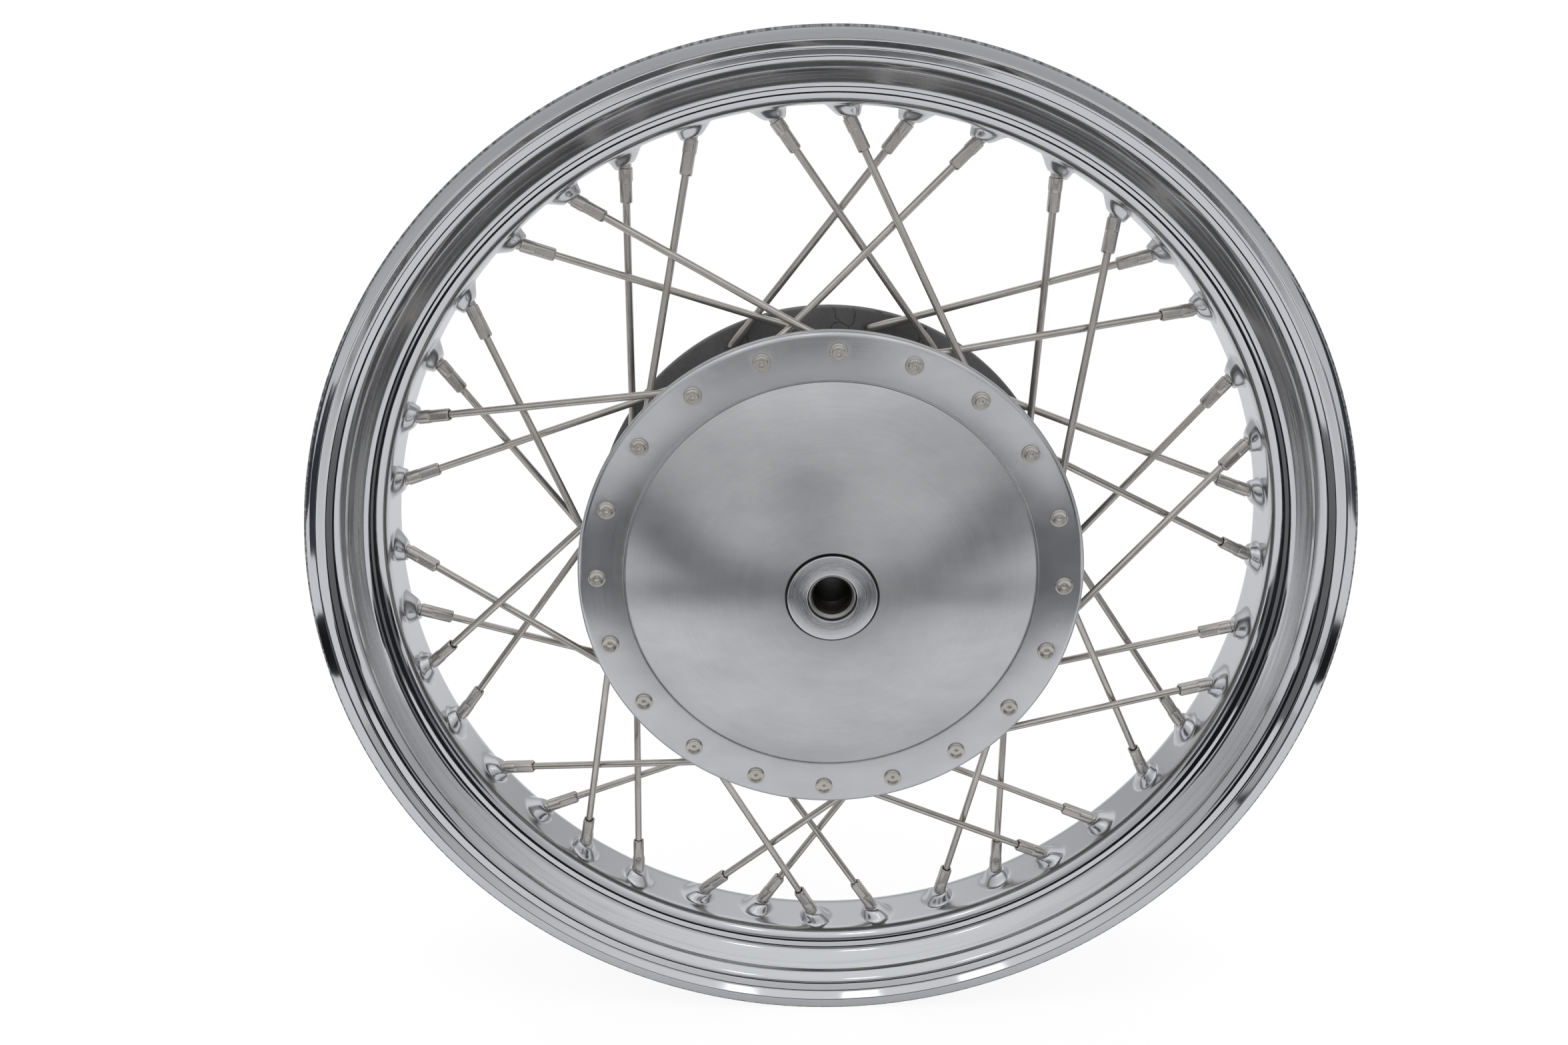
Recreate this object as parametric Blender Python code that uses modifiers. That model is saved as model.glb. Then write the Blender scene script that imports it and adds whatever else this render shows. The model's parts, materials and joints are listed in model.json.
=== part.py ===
"""Laced motorcycle wheel: a drop-centre steel rim, bent-head spokes and a full-width drum hub.

The spin axis is +Y and the origin is the middle of the wheel on that axis. The polished side of the
hub faces -Y, called the near side here, and the open side of the brake drum faces +Y, the far side.
Lengths are metres. A place on a turned piece is a pair (radius from the axis, distance along +Y).
"""

import math

import bmesh
import bpy
from mathutils import Matrix, Vector

MM = 0.001
GAP = 0.3 * MM  # clearance left between neighbouring pieces

# Rim: nominal 17 inch, 2.15 inch wide, rolled from sheet
RIM_SHEET = 2.2 * MM
WELL_RADIUS = 199.4 * MM  # hub-facing side of the well bottom
RIM_SECTION = [  # bends of the hub-facing side, from the lip to the middle: (radius, half width)
    (228.3 * MM, 34.5 * MM),  # lip
    (225.8 * MM, 32.2 * MM),  # foot of the lip
    (222.0 * MM, 29.6 * MM),  # middle of the flange
    (217.0 * MM, 26.4 * MM),  # foot of the flange
    (214.9 * MM, 21.0 * MM),  # corner of the bead seat
    (212.2 * MM, 15.4 * MM),  # middle of the seat
    (209.8 * MM, 12.0 * MM),  # top of the well's wall
    (202.6 * MM, 9.4 * MM),  # foot of the well's wall
    (WELL_RADIUS, 6.8 * MM),  # well bottom
]
RIM_STEPS = 48

# Hub
FLANGE_RADIUS = 111.4 * MM
NEAR_FACE = -35.0 * MM
FLANGE_THICKNESS = 6.0 * MM
NEAR_FLANGE_BACK = NEAR_FACE + FLANGE_THICKNESS
FAR_FLANGE_FRONT = 24.2 * MM
FAR_FLANGE_BACK = FAR_FLANGE_FRONT + FLANGE_THICKNESS
FAR_FLANGE_RADIUS = 110.4 * MM
DOME_RADIUS = 90.0 * MM
DOME_RISE = 17.3 * MM
GROOVE = 0.8 * MM
FLANGE_ROUND = 2.2 * MM  # radius of the near flange's front edge
FLANGE_CHAMFER = 1.2 * MM
HUB_WALL = 5.5 * MM
HOLLOW_RADIUS = 58.0 * MM  # where the hollow behind the dome is deepest
SKIRT_WALL = 5.0 * MM
FOOT_RADIUS = 60.0 * MM  # the disc that the drum is screwed to
FOOT_THICKNESS = 6.0 * MM
BEARING_SHOULDER = 3.5 * MM
BARREL_RADIUS = 97.0 * MM
WEB_NEAR = -14.7 * MM  # near face of the drum's web
WEB_THICKNESS = 6.7 * MM
DRUM_RADIUS = 89.0 * MM  # brake surface, a nominal 7 inch drum
DRUM_MOUTH = 34.0 * MM
DRUM_CHAMFER = 1.5 * MM
DRUM_CORNER = 2.0 * MM
TUNNEL_RADIUS = 27.0 * MM
TUNNEL_END = 18.2 * MM
HUB_STEPS = 32

# Bearings: 17 x 40 x 12 deep-groove ball bearings
BEARING_BORE = 8.5 * MM
BEARING_RADIUS = 20.0 * MM
BEARING_WIDTH = 12.0 * MM
BALL_PITCH = 14.35 * MM
BALL_RADIUS = 3.1 * MM
BALLS = 7
OUTER_RING_WALL = 17.0 * MM
OUTER_RING_GROOVE = 17.9 * MM
INNER_RING_WALL = 11.7 * MM
INNER_RING_GROOVE = 10.8 * MM
GROOVE_HALF_WIDTH = 3.4 * MM
CAGE_HALF_WIDTH = 1.3 * MM
CAGE_HALF_WALL = 0.7 * MM
NEAR_BEARING = -48.3 * MM  # low end of each bearing along the axis
FAR_BEARING = 2.3 * MM
SMALL_STEPS = 20

# Pieces on the axle, and the seals that close the bearings
SPACER_BORE = 9.0 * MM
SPACER_RADIUS = 12.0 * MM
SLEEVE_RADIUS = 10.2 * MM
SLEEVE_END = -51.9 * MM
SLEEVE_CHAMFER = 1.0 * MM
COLLAR_FACE = -53.6 * MM
COLLAR_RADIUS = 18.3 * MM
COLLAR_NECK = 13.0 * MM
COLLAR_CHAMFER = 0.5 * MM
COLLAR_BORE_CHAMFER = 0.4 * MM
FAR_COLLAR_FACE = 36.0 * MM
FAR_COLLAR_CHAMFER = 1.0 * MM
NEAR_SEAL_BORE = 13.6 * MM
NEAR_SEAL_FACE = -50.9 * MM
FAR_SEAL_BORE = 12.6 * MM
FAR_SEAL_DEPTH = 0.6 * MM  # below the end of the bearing tunnel

# Spokes: 8/10 gauge single-butted with a bent head, laced so that each spans 36 degrees
SPOKES = 40
HOLE_PITCH = 2 * math.pi / SPOKES
LACING = math.radians(36.0)
PATTERN_TURN = math.radians(-1.1)
HEAD_CIRCLE = 102.6 * MM
HEAD_RADIUS = 3.95 * MM
HEAD_THICKNESS = 1.7 * MM
BUTT_RADIUS = 2.03 * MM
BODY_RADIUS = 1.625 * MM
BUTT_END = 8.0 * MM  # along the spoke from the elbow
TAPER_END = 14.0 * MM
ELBOW_RADIUS = 3.2 * MM
ELBOW_CLEARANCE = 3.8 * MM  # from the flange to the middle of the spoke
LACING_STEP = 4.1 * MM  # sideways offset that lets the two leans of spoke pass
HEAD_HOLE_RADIUS = 2.7 * MM

# Nipples and the bosses pressed into the rim's well
NIPPLE_LENGTH = 15.5 * MM  # part that shows outside its boss
FLATS_LENGTH = 9.5 * MM
FLATS_WIDTH = 5.2 * MM
NIPPLE_RADIUS = 2.95 * MM
NIPPLE_HEAD_RADIUS = 4.3 * MM
NIPPLE_HEAD_LENGTH = 2.5 * MM
NIPPLE_HEAD_SEAT = 5.6 * MM  # radial distance from the well's hub side to the nipple head
BOSS_HEIGHT = 4.8 * MM
BOSS_TOP_RADIUS = 5.2 * MM
BOSS_FOOT_RADIUS = 6.7 * MM
NIPPLE_HOLE_RADIUS = 3.8 * MM

# Screws that hold the drum to the hub
SCREWS = 5
SCREW_CIRCLE = 47.0 * MM
SCREW_RADIUS = 4.0 * MM
SCREW_HEAD_RADIUS = 7.5 * MM
SCREW_HEAD_HEIGHT = 5.5 * MM
SCREW_REACH = 12.0 * MM

NEAR = -1
FAR = 1


def new_collection(name):
    collection = bpy.data.collections.new(name)
    bpy.context.scene.collection.children.link(collection)
    return collection


def clear_scene():
    for obj in list(bpy.data.objects):
        bpy.data.objects.remove(obj, do_unlink=True)


def make_material(name, color, roughness, metallic):
    material = bpy.data.materials.new(name)
    material.use_nodes = True
    shader = material.node_tree.nodes["Principled BSDF"]
    shader.inputs["Base Color"].default_value = (*color, 1.0)
    shader.inputs["Roughness"].default_value = roughness
    shader.inputs["Metallic"].default_value = metallic
    return material


def empty_at_centre(name):
    """An empty on the spin axis, which carries the pieces that turn together."""
    empty = bpy.data.objects.new(name, None)
    PARTS.objects.link(empty)
    return empty


def add_object(name, mesh, material, parent):
    obj = bpy.data.objects.new(name, mesh)
    if not mesh.materials:
        mesh.materials.append(material)
    mesh.shade_smooth()
    mesh.set_sharp_from_angle(angle=math.radians(35))
    PARTS.objects.link(obj)
    obj.parent = parent
    return obj


def polar(radius, angle, along):
    """A point at an angle measured from +X towards +Z."""
    return Vector((radius * math.cos(angle), along, radius * math.sin(angle)))


def arc(centre, radius, start_deg, end_deg, steps):
    """Outline points round a centre, with angles measured from the radial direction towards +Y."""
    angles = [math.radians(start_deg + (end_deg - start_deg) * i / steps) for i in range(steps + 1)]
    return [(centre[0] + radius * math.cos(a), centre[1] + radius * math.sin(a)) for a in angles]


def outline_mesh(name, points, closed):
    mesh = bpy.data.meshes.new(name)
    edges = [(i, i + 1) for i in range(len(points) - 1)]
    if closed:
        edges.append((len(points) - 1, 0))
    mesh.from_pydata([(radius, along, 0.0) for radius, along in points], edges, [])
    return mesh


def add_screw(obj, steps):
    screw = obj.modifiers.new("turned", "SCREW")
    screw.axis = "Y"
    screw.steps = steps
    screw.render_steps = steps
    screw.use_merge_vertices = True
    screw.merge_threshold = 0.0001
    return screw


def turned(name, outline, steps, material, parent):
    """A solid of revolution from a closed outline, whichever way round it is listed."""
    pairs = list(zip(outline, outline[1:] + outline[:1]))
    area = sum(a[0] * b[1] - b[0] * a[1] for a, b in pairs)
    if area > 0:
        outline = outline[::-1]
    obj = add_object(name, outline_mesh(name, outline, True), material, parent)
    add_screw(obj, steps)
    return obj


def tube(name, inner, outer, low, high, material, parent):
    outline = [(inner, low), (outer, low), (outer, high), (inner, high)]
    return turned(name, outline, SMALL_STEPS, material, parent)


def cutter_object(name, bm):
    """A hidden closed mesh for the Boolean modifiers."""
    mesh = bpy.data.meshes.new(name)
    bm.to_mesh(mesh)
    bm.free()
    obj = bpy.data.objects.new(name, mesh)
    obj.hide_render = True
    obj.display_type = "WIRE"
    return obj


def cylinder(name, start, end, radius, segments, end_radius=None):
    """A cylinder or cone between two points."""
    along = end - start
    turn = along.to_track_quat("Z", "Y").to_matrix().to_4x4()
    place = Matrix.Translation((start + end) / 2) @ turn
    bm = bmesh.new()
    bmesh.ops.create_cone(
        bm,
        cap_ends=True,
        segments=segments,
        radius1=radius,
        radius2=radius if end_radius is None else end_radius,
        depth=along.length,
        matrix=place,
    )
    return cutter_object(name, bm)


def add_boolean(obj, operation, collection):
    modifier = obj.modifiers.new(operation.lower(), "BOOLEAN")
    modifier.operation = operation
    modifier.operand_type = "COLLECTION"
    modifier.collection = collection
    modifier.solver = "EXACT"


def evaluated_mesh(obj, name):
    bpy.context.view_layer.update()
    graph = bpy.context.evaluated_depsgraph_get()
    mesh = bpy.data.meshes.new_from_object(obj.evaluated_get(graph))
    mesh.name = name
    return mesh


# Lacing: where each family of spoke runs, for a rim hole at angle zero


def elbow_along(side, lean):
    """How far along the axis the middle of the spoke lies where it leaves its flange."""
    if side == NEAR:
        first = NEAR_FLANGE_BACK + ELBOW_CLEARANCE
        return first + LACING_STEP if lean > 0 else first
    first = FAR_FLANGE_FRONT - ELBOW_CLEARANCE
    return first if lean > 0 else first - LACING_STEP


def elbow_point(side, lean):
    return polar(HEAD_CIRCLE, lean * LACING, elbow_along(side, lean))


def rim_point(lean):
    return Vector((WELL_RADIUS, lean * LACING_STEP / 2, 0.0))


def spoke_direction(side, lean):
    return (rim_point(lean) - elbow_point(side, lean)).normalized()


def on_spoke(side, lean, radial):
    """The point on the spoke's line at a height above the well, measured along the rim hole's radius."""
    direction = spoke_direction(side, lean)
    return rim_point(lean) + direction * (radial / direction.x)


def lacing():
    """Every spoke as (number, side, lean, angle of its rim hole)."""
    for number in range(SPOKES):
        side = NEAR if number % 2 == 0 else FAR
        lean = 1 if number % 4 < 2 else -1
        yield number, side, lean, PATTERN_TURN + number * HOLE_PITCH


def head_angle(number, lean):
    return PATTERN_TURN + number * HOLE_PITCH + lean * LACING


# Rim


def rim_profile():
    """Hub-facing side of the sheet from one lip to the other: flange, bead seat, well, and back."""
    return [(radius, -along) for radius, along in RIM_SECTION] + RIM_SECTION[::-1]


def boss(name, side, lean, angle):
    """The raised seat pressed into the well: a cone whose top leans with its nipple."""
    foot = on_spoke(side, lean, RIM_SHEET / 2)
    top = on_spoke(side, lean, -BOSS_HEIGHT)
    rise = top - foot
    columns = Matrix((Vector((0, 1, 0)), Vector((0, 0, 1)), rise)).transposed().to_4x4()
    place = Matrix.Rotation(-angle, 4, "Y") @ Matrix.Translation((foot + top) / 2) @ columns
    bm = bmesh.new()
    bmesh.ops.create_cone(
        bm,
        cap_ends=True,
        segments=6,
        radius1=BOSS_FOOT_RADIUS,
        radius2=BOSS_TOP_RADIUS,
        depth=1.0,
        matrix=place,
    )
    bmesh.ops.recalc_face_normals(bm, faces=bm.faces)
    return cutter_object(name, bm)


def build_rim(parent):
    obj = add_object("rim", outline_mesh("rim", rim_profile(), False), MATERIALS["chrome"], parent)
    add_screw(obj, RIM_STEPS)
    sheet = obj.modifiers.new("sheet", "SOLIDIFY")
    sheet.thickness = RIM_SHEET
    sheet.offset = -1.0
    sheet.use_even_offset = True
    bosses = bpy.data.collections.new("rim_bosses")
    holes = bpy.data.collections.new("nipple_holes")
    CUTTERS.children.link(bosses)
    CUTTERS.children.link(holes)
    for number, side, lean, angle in lacing():
        bosses.objects.link(boss(f"boss_{number}", side, lean, angle))
        low = on_spoke(side, lean, -2 * BOSS_HEIGHT)
        high = on_spoke(side, lean, 2 * NIPPLE_HEAD_SEAT)
        hole = cylinder(f"nipple_hole_{number}", low, high, NIPPLE_HOLE_RADIUS, 6)
        hole.rotation_euler.y = -angle
        holes.objects.link(hole)
    add_boolean(obj, "UNION", bosses)
    add_boolean(obj, "DIFFERENCE", holes)


# Spokes, each with its nipple screwed on


def spoke_rod(side, lean):
    """The rod with its head, elbow, butt and body, as a bevelled curve that changes radius."""
    elbow = elbow_point(side, lean)
    direction = spoke_direction(side, lean)
    leg = Vector((0, side, 0))  # from the elbow out to the head
    face = NEAR_FACE if side == NEAR else FAR_FLANGE_BACK
    seat = Vector((elbow.x, face + side * GAP, elbow.z))
    turn = leg.angle(-direction)
    cut = ELBOW_RADIUS * math.tan(turn / 2)
    start = elbow + leg * cut
    end = elbow + direction * cut
    middle = elbow + (leg + direction).normalized() * ELBOW_RADIUS * (1 / math.cos(turn / 2) - 1)
    step = 0.05 * MM
    stations = [
        (seat + leg * HEAD_THICKNESS, HEAD_RADIUS),
        (seat, HEAD_RADIUS),
        (seat - leg * step, BUTT_RADIUS),
        (start, BUTT_RADIUS),
        (middle, BUTT_RADIUS),
        (end, BUTT_RADIUS),
        (elbow + direction * BUTT_END, BUTT_RADIUS),
        (elbow + direction * TAPER_END, BODY_RADIUS),
        (on_spoke(side, lean, 0.0), BODY_RADIUS),
    ]
    curve = bpy.data.curves.new("spoke_rod", "CURVE")
    curve.dimensions = "3D"
    curve.bevel_depth = BODY_RADIUS
    curve.bevel_resolution = 1
    curve.use_fill_caps = True
    spline = curve.splines.new("POLY")
    spline.points.add(len(stations) - 1)
    for point, (place, radius) in zip(spline.points, stations):
        point.co = (*place, 1.0)
        point.radius = radius / BODY_RADIUS
    return curve


def nipple_flats(start, end):
    """The square length for the spoke key."""
    along = end - start
    turn = along.to_track_quat("Z", "Y").to_matrix().to_4x4()
    scale = Matrix.Diagonal((FLATS_WIDTH, FLATS_WIDTH, along.length, 1.0))
    bm = bmesh.new()
    bmesh.ops.create_cube(bm, size=1.0, matrix=scale)
    bmesh.ops.transform(bm, matrix=Matrix.Translation((start + end) / 2) @ turn, verts=bm.verts)
    return cutter_object("nipple_flats", bm)


def spoke_mesh(side, lean):
    """One family of spoke with its nipple, for a rim hole at angle zero."""
    curve_object = bpy.data.objects.new("spoke_rod", spoke_rod(side, lean))
    bpy.context.scene.collection.objects.link(curve_object)
    rod_mesh = evaluated_mesh(curve_object, "spoke_rod")
    bpy.data.objects.remove(curve_object, do_unlink=True)
    bm = bmesh.new()
    bm.from_mesh(rod_mesh)
    bmesh.ops.remove_doubles(bm, verts=bm.verts, dist=0.00001)
    bm.to_mesh(rod_mesh)
    bm.free()

    direction = spoke_direction(side, lean)
    shoulder = on_spoke(side, lean, -BOSS_HEIGHT)
    tip = shoulder - direction * NIPPLE_LENGTH
    collar = tip + direction * FLATS_LENGTH
    head = on_spoke(side, lean, NIPPLE_HEAD_SEAT)
    top = head + direction * NIPPLE_HEAD_LENGTH
    pieces = bpy.data.collections.new("nipple_pieces")
    bpy.context.scene.collection.children.link(pieces)
    pieces.objects.link(nipple_flats(tip, collar + direction * 0.5 * MM))
    pieces.objects.link(cylinder("nipple_round", collar, head + direction * 0.5 * MM, NIPPLE_RADIUS, 6))
    pieces.objects.link(cylinder("nipple_head", head, top, NIPPLE_HEAD_RADIUS, 6, NIPPLE_RADIUS))
    rod = bpy.data.objects.new("spoke_blank", rod_mesh)
    bpy.context.scene.collection.objects.link(rod)
    add_boolean(rod, "UNION", pieces)
    mesh = evaluated_mesh(rod, f"spoke_{'near' if side == NEAR else 'far'}_{'a' if lean > 0 else 'b'}")
    for obj in [rod, *pieces.objects]:
        bpy.data.objects.remove(obj, do_unlink=True)
    bpy.data.collections.remove(pieces)
    mesh.materials.clear()
    return mesh


def build_spokes(parent):
    meshes = {(side, lean): spoke_mesh(side, lean) for side in (NEAR, FAR) for lean in (1, -1)}
    counts = {NEAR: 0, FAR: 0}
    for number, side, lean, angle in lacing():
        counts[side] += 1
        name = f"{'near' if side == NEAR else 'far'}_spoke_{counts[side]:02d}"
        obj = add_object(name, meshes[side, lean], MATERIALS["stainless"], parent)
        obj.rotation_euler.y = -angle


# Hub shell and drum


def spoke_head_holes(name, side, low, high):
    holes = bpy.data.collections.new(name)
    CUTTERS.children.link(holes)
    for number, spoke_side, lean, _ in lacing():
        if spoke_side == side:
            angle = head_angle(number, lean)
            start = polar(HEAD_CIRCLE, angle, low)
            end = polar(HEAD_CIRCLE, angle, high)
            holes.objects.link(cylinder(f"{name}_{number}", start, end, HEAD_HOLE_RADIUS, 6))
    return holes


def dome_height(radius):
    """Face of the dome: highest at the bore, falling as a parabola to the flange."""
    share = (radius - BEARING_RADIUS) / (DOME_RADIUS - BEARING_RADIUS)
    return NEAR_FACE - DOME_RISE * (1 - share**2)


def build_hub_shell(parent):
    bore = BEARING_RADIUS + 4 / 3 * GAP
    shoulder = BEARING_RADIUS - BEARING_SHOULDER
    skirt_end = WEB_NEAR - GAP
    skirt_radius = BARREL_RADIUS + 1.0 * MM
    dome = [bore, 40 * MM, HOLLOW_RADIUS, 75 * MM, DOME_RADIUS]
    edge = (FLANGE_RADIUS - FLANGE_ROUND, NEAR_FACE + FLANGE_ROUND)
    outline = [(radius, dome_height(radius)) for radius in dome]
    outline += [(DOME_RADIUS + GROOVE / 2, NEAR_FACE + GROOVE), (DOME_RADIUS + GROOVE, NEAR_FACE)]
    outline += arc(edge, FLANGE_ROUND, -90, 0, 2)
    outline += [
        (FLANGE_RADIUS, NEAR_FLANGE_BACK - FLANGE_CHAMFER),
        (FLANGE_RADIUS - FLANGE_CHAMFER, NEAR_FLANGE_BACK),
        (skirt_radius, NEAR_FLANGE_BACK),
        (skirt_radius, skirt_end),
        (skirt_radius - SKIRT_WALL, skirt_end),
        (skirt_radius - SKIRT_WALL, NEAR_FLANGE_BACK),
        (DOME_RADIUS - 4.0 * MM, NEAR_FLANGE_BACK),
        (HOLLOW_RADIUS, dome_height(HOLLOW_RADIUS) + HUB_WALL),
        (TUNNEL_RADIUS + 1.0 * MM, dome_height(TUNNEL_RADIUS) + HUB_WALL),
        (TUNNEL_RADIUS, skirt_end - FOOT_THICKNESS),
        (FOOT_RADIUS, skirt_end - FOOT_THICKNESS),
        (FOOT_RADIUS, skirt_end),
        (TUNNEL_RADIUS, skirt_end),
        (TUNNEL_RADIUS, TUNNEL_END),
        (bore, TUNNEL_END),
        (bore, FAR_BEARING - GAP),
        (shoulder, FAR_BEARING - GAP),
        (shoulder, NEAR_BEARING + BEARING_WIDTH + GAP),
        (bore, NEAR_BEARING + BEARING_WIDTH + GAP),
    ]
    obj = turned("hub_shell", outline, HUB_STEPS, MATERIALS["polished_alloy"], parent)
    low, high = NEAR_FACE - 5 * MM, NEAR_FLANGE_BACK + 2 * MM
    add_boolean(obj, "DIFFERENCE", spoke_head_holes("near_head_holes", NEAR, low, high))
    add_boolean(obj, "DIFFERENCE", screw_holes("hub_screw_holes", skirt_end - 8 * MM, skirt_end + 2 * MM))


def build_brake_drum(parent):
    web_far = WEB_NEAR + WEB_THICKNESS
    outline = [
        (TUNNEL_RADIUS + 0.5 * MM, WEB_NEAR),
        (BARREL_RADIUS - DRUM_CORNER, WEB_NEAR),
        (BARREL_RADIUS, WEB_NEAR + DRUM_CORNER),
        (BARREL_RADIUS, FAR_FLANGE_FRONT),
        (FAR_FLANGE_RADIUS - 1.0 * MM, FAR_FLANGE_FRONT),
        (FAR_FLANGE_RADIUS, FAR_FLANGE_FRONT + 1.0 * MM),
        (FAR_FLANGE_RADIUS, FAR_FLANGE_BACK - DRUM_CHAMFER),
        (FAR_FLANGE_RADIUS - DRUM_CHAMFER, FAR_FLANGE_BACK),
        (BARREL_RADIUS, FAR_FLANGE_BACK),
        (BARREL_RADIUS - 1.0 * MM, DRUM_MOUTH),
        (DRUM_RADIUS + DRUM_CHAMFER, DRUM_MOUTH),
        (DRUM_RADIUS, DRUM_MOUTH - DRUM_CHAMFER),
        (DRUM_RADIUS, web_far + DRUM_CORNER),
        (DRUM_RADIUS - DRUM_CORNER, web_far),
        (TUNNEL_RADIUS + 0.5 * MM, web_far),
    ]
    obj = turned("brake_drum", outline, HUB_STEPS, MATERIALS["cast_iron"], parent)
    low, high = FAR_FLANGE_FRONT - 2 * MM, FAR_FLANGE_BACK + 2 * MM
    add_boolean(obj, "DIFFERENCE", spoke_head_holes("far_head_holes", FAR, low, high))
    add_boolean(obj, "DIFFERENCE", screw_holes("drum_screw_holes", WEB_NEAR - 2 * MM, web_far + 2 * MM))


def screw_angle(number):
    return math.pi / 2 + 2 * math.pi * number / SCREWS


def screw_holes(name, low, high):
    holes = bpy.data.collections.new(name)
    CUTTERS.children.link(holes)
    for number in range(SCREWS):
        angle = screw_angle(number)
        start, end = polar(SCREW_CIRCLE, angle, low), polar(SCREW_CIRCLE, angle, high)
        holes.objects.link(cylinder(f"{name}_{number}", start, end, SCREW_RADIUS + 2.5 * GAP, 8))
    return holes


def build_screws(parent):
    """Hexagon-head screws, put in from inside the drum."""
    seat = WEB_NEAR + WEB_THICKNESS + GAP
    for number in range(SCREWS):
        angle = screw_angle(number)
        pieces = bpy.data.collections.new("screw_pieces")
        CUTTERS.children.link(pieces)
        tip, under = polar(SCREW_CIRCLE, angle, seat - SCREW_REACH), polar(SCREW_CIRCLE, angle, seat + 1 * MM)
        pieces.objects.link(cylinder(f"screw_shank_{number}", tip, under, SCREW_RADIUS, 8))
        start, end = polar(SCREW_CIRCLE, angle, seat), polar(SCREW_CIRCLE, angle, seat + SCREW_HEAD_HEIGHT)
        head = cylinder("screw_head", start, end, SCREW_HEAD_RADIUS, 6)
        obj = add_object(f"drum_screw_{number + 1}", head.data, MATERIALS["zinc"], parent)
        bpy.data.objects.remove(head)
        add_boolean(obj, "UNION", pieces)


# Bearings, spacers and seals


def build_bearing(prefix, low, wheel, cage_parent, axle):
    """Outer ring in the hub, inner ring on the axle, and the balls held in their cage between them."""
    high = low + BEARING_WIDTH
    middle = (low + high) / 2
    for name, edge, wall, groove, parent in (
        ("outer", BEARING_RADIUS, OUTER_RING_WALL, OUTER_RING_GROOVE, wheel),
        ("inner", BEARING_BORE, INNER_RING_WALL, INNER_RING_GROOVE, axle),
    ):
        ring = [
            (edge, low),
            (edge, high),
            (wall, high),
            (wall, middle + GROOVE_HALF_WIDTH),
            (groove, middle),
            (wall, middle - GROOVE_HALF_WIDTH),
            (wall, low),
        ]
        name = f"{prefix}_bearing_{name}_ring"
        turned(name, ring, SMALL_STEPS, MATERIALS["bearing_steel"], parent)
    band = [
        (BALL_PITCH - CAGE_HALF_WALL, middle - CAGE_HALF_WIDTH),
        (BALL_PITCH + CAGE_HALF_WALL, middle - CAGE_HALF_WIDTH),
        (BALL_PITCH + CAGE_HALF_WALL, middle + CAGE_HALF_WIDTH),
        (BALL_PITCH - CAGE_HALF_WALL, middle + CAGE_HALF_WIDTH),
    ]
    cage = turned(f"{prefix}_ball_cage", band, 2 * BALLS, MATERIALS["bearing_steel"], cage_parent)
    balls = bpy.data.collections.new(f"{prefix}_balls")
    CUTTERS.children.link(balls)
    for number in range(BALLS):
        place = polar(BALL_PITCH, 2 * math.pi * (number + 0.5) / BALLS, middle)
        bm = bmesh.new()
        bmesh.ops.create_uvsphere(
            bm, u_segments=6, v_segments=4, radius=BALL_RADIUS, matrix=Matrix.Translation(place)
        )
        balls.objects.link(cutter_object(f"{prefix}_ball_{number}", bm))
    add_boolean(cage, "UNION", balls)


def build_axle_stack(wheel, axle):
    """The pieces that stay still on the axle, and the seals that turn with the hub."""
    near_end = NEAR_BEARING + BEARING_WIDTH
    tube("bearing_spacer_tube", SPACER_BORE, SPACER_RADIUS, near_end + GAP, FAR_BEARING - GAP,
         MATERIALS["zinc"], axle)
    outline = [
        (BEARING_BORE, NEAR_BEARING - GAP),
        (SLEEVE_RADIUS, NEAR_BEARING - GAP),
        (SLEEVE_RADIUS, SLEEVE_END),
        (BEARING_BORE + SLEEVE_CHAMFER, SLEEVE_END),
        (BEARING_BORE, SLEEVE_END + SLEEVE_CHAMFER),
    ]
    turned("near_axle_sleeve", outline, SMALL_STEPS, MATERIALS["stainless"], axle)
    collar_bore = SLEEVE_RADIUS + 1.5 * GAP
    outline = [
        (collar_bore, COLLAR_FACE + COLLAR_BORE_CHAMFER),
        (collar_bore + COLLAR_BORE_CHAMFER, COLLAR_FACE),
        (COLLAR_RADIUS - COLLAR_CHAMFER, COLLAR_FACE),
        (COLLAR_RADIUS, COLLAR_FACE + COLLAR_CHAMFER),
        (COLLAR_RADIUS, SLEEVE_END),
        (COLLAR_NECK, SLEEVE_END),
        (COLLAR_NECK, NEAR_BEARING - 2 * GAP),
        (collar_bore, NEAR_BEARING - 2 * GAP),
    ]
    turned("near_collar", outline, SMALL_STEPS, MATERIALS["machined_steel"], axle)
    far_low = FAR_BEARING + BEARING_WIDTH + GAP
    outline = [
        (BEARING_BORE, far_low),
        (SPACER_RADIUS, far_low),
        (SPACER_RADIUS, FAR_COLLAR_FACE - FAR_COLLAR_CHAMFER),
        (SPACER_RADIUS - FAR_COLLAR_CHAMFER, FAR_COLLAR_FACE),
        (BEARING_BORE, FAR_COLLAR_FACE),
    ]
    turned("far_collar", outline, SMALL_STEPS, MATERIALS["zinc"], axle)
    tube("near_dust_seal", NEAR_SEAL_BORE, BEARING_RADIUS, NEAR_SEAL_FACE, NEAR_BEARING - GAP,
         MATERIALS["rubber"], wheel)
    tube("far_dust_seal", FAR_SEAL_BORE, BEARING_RADIUS, far_low, TUNNEL_END - FAR_SEAL_DEPTH,
         MATERIALS["rubber"], wheel)


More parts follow.
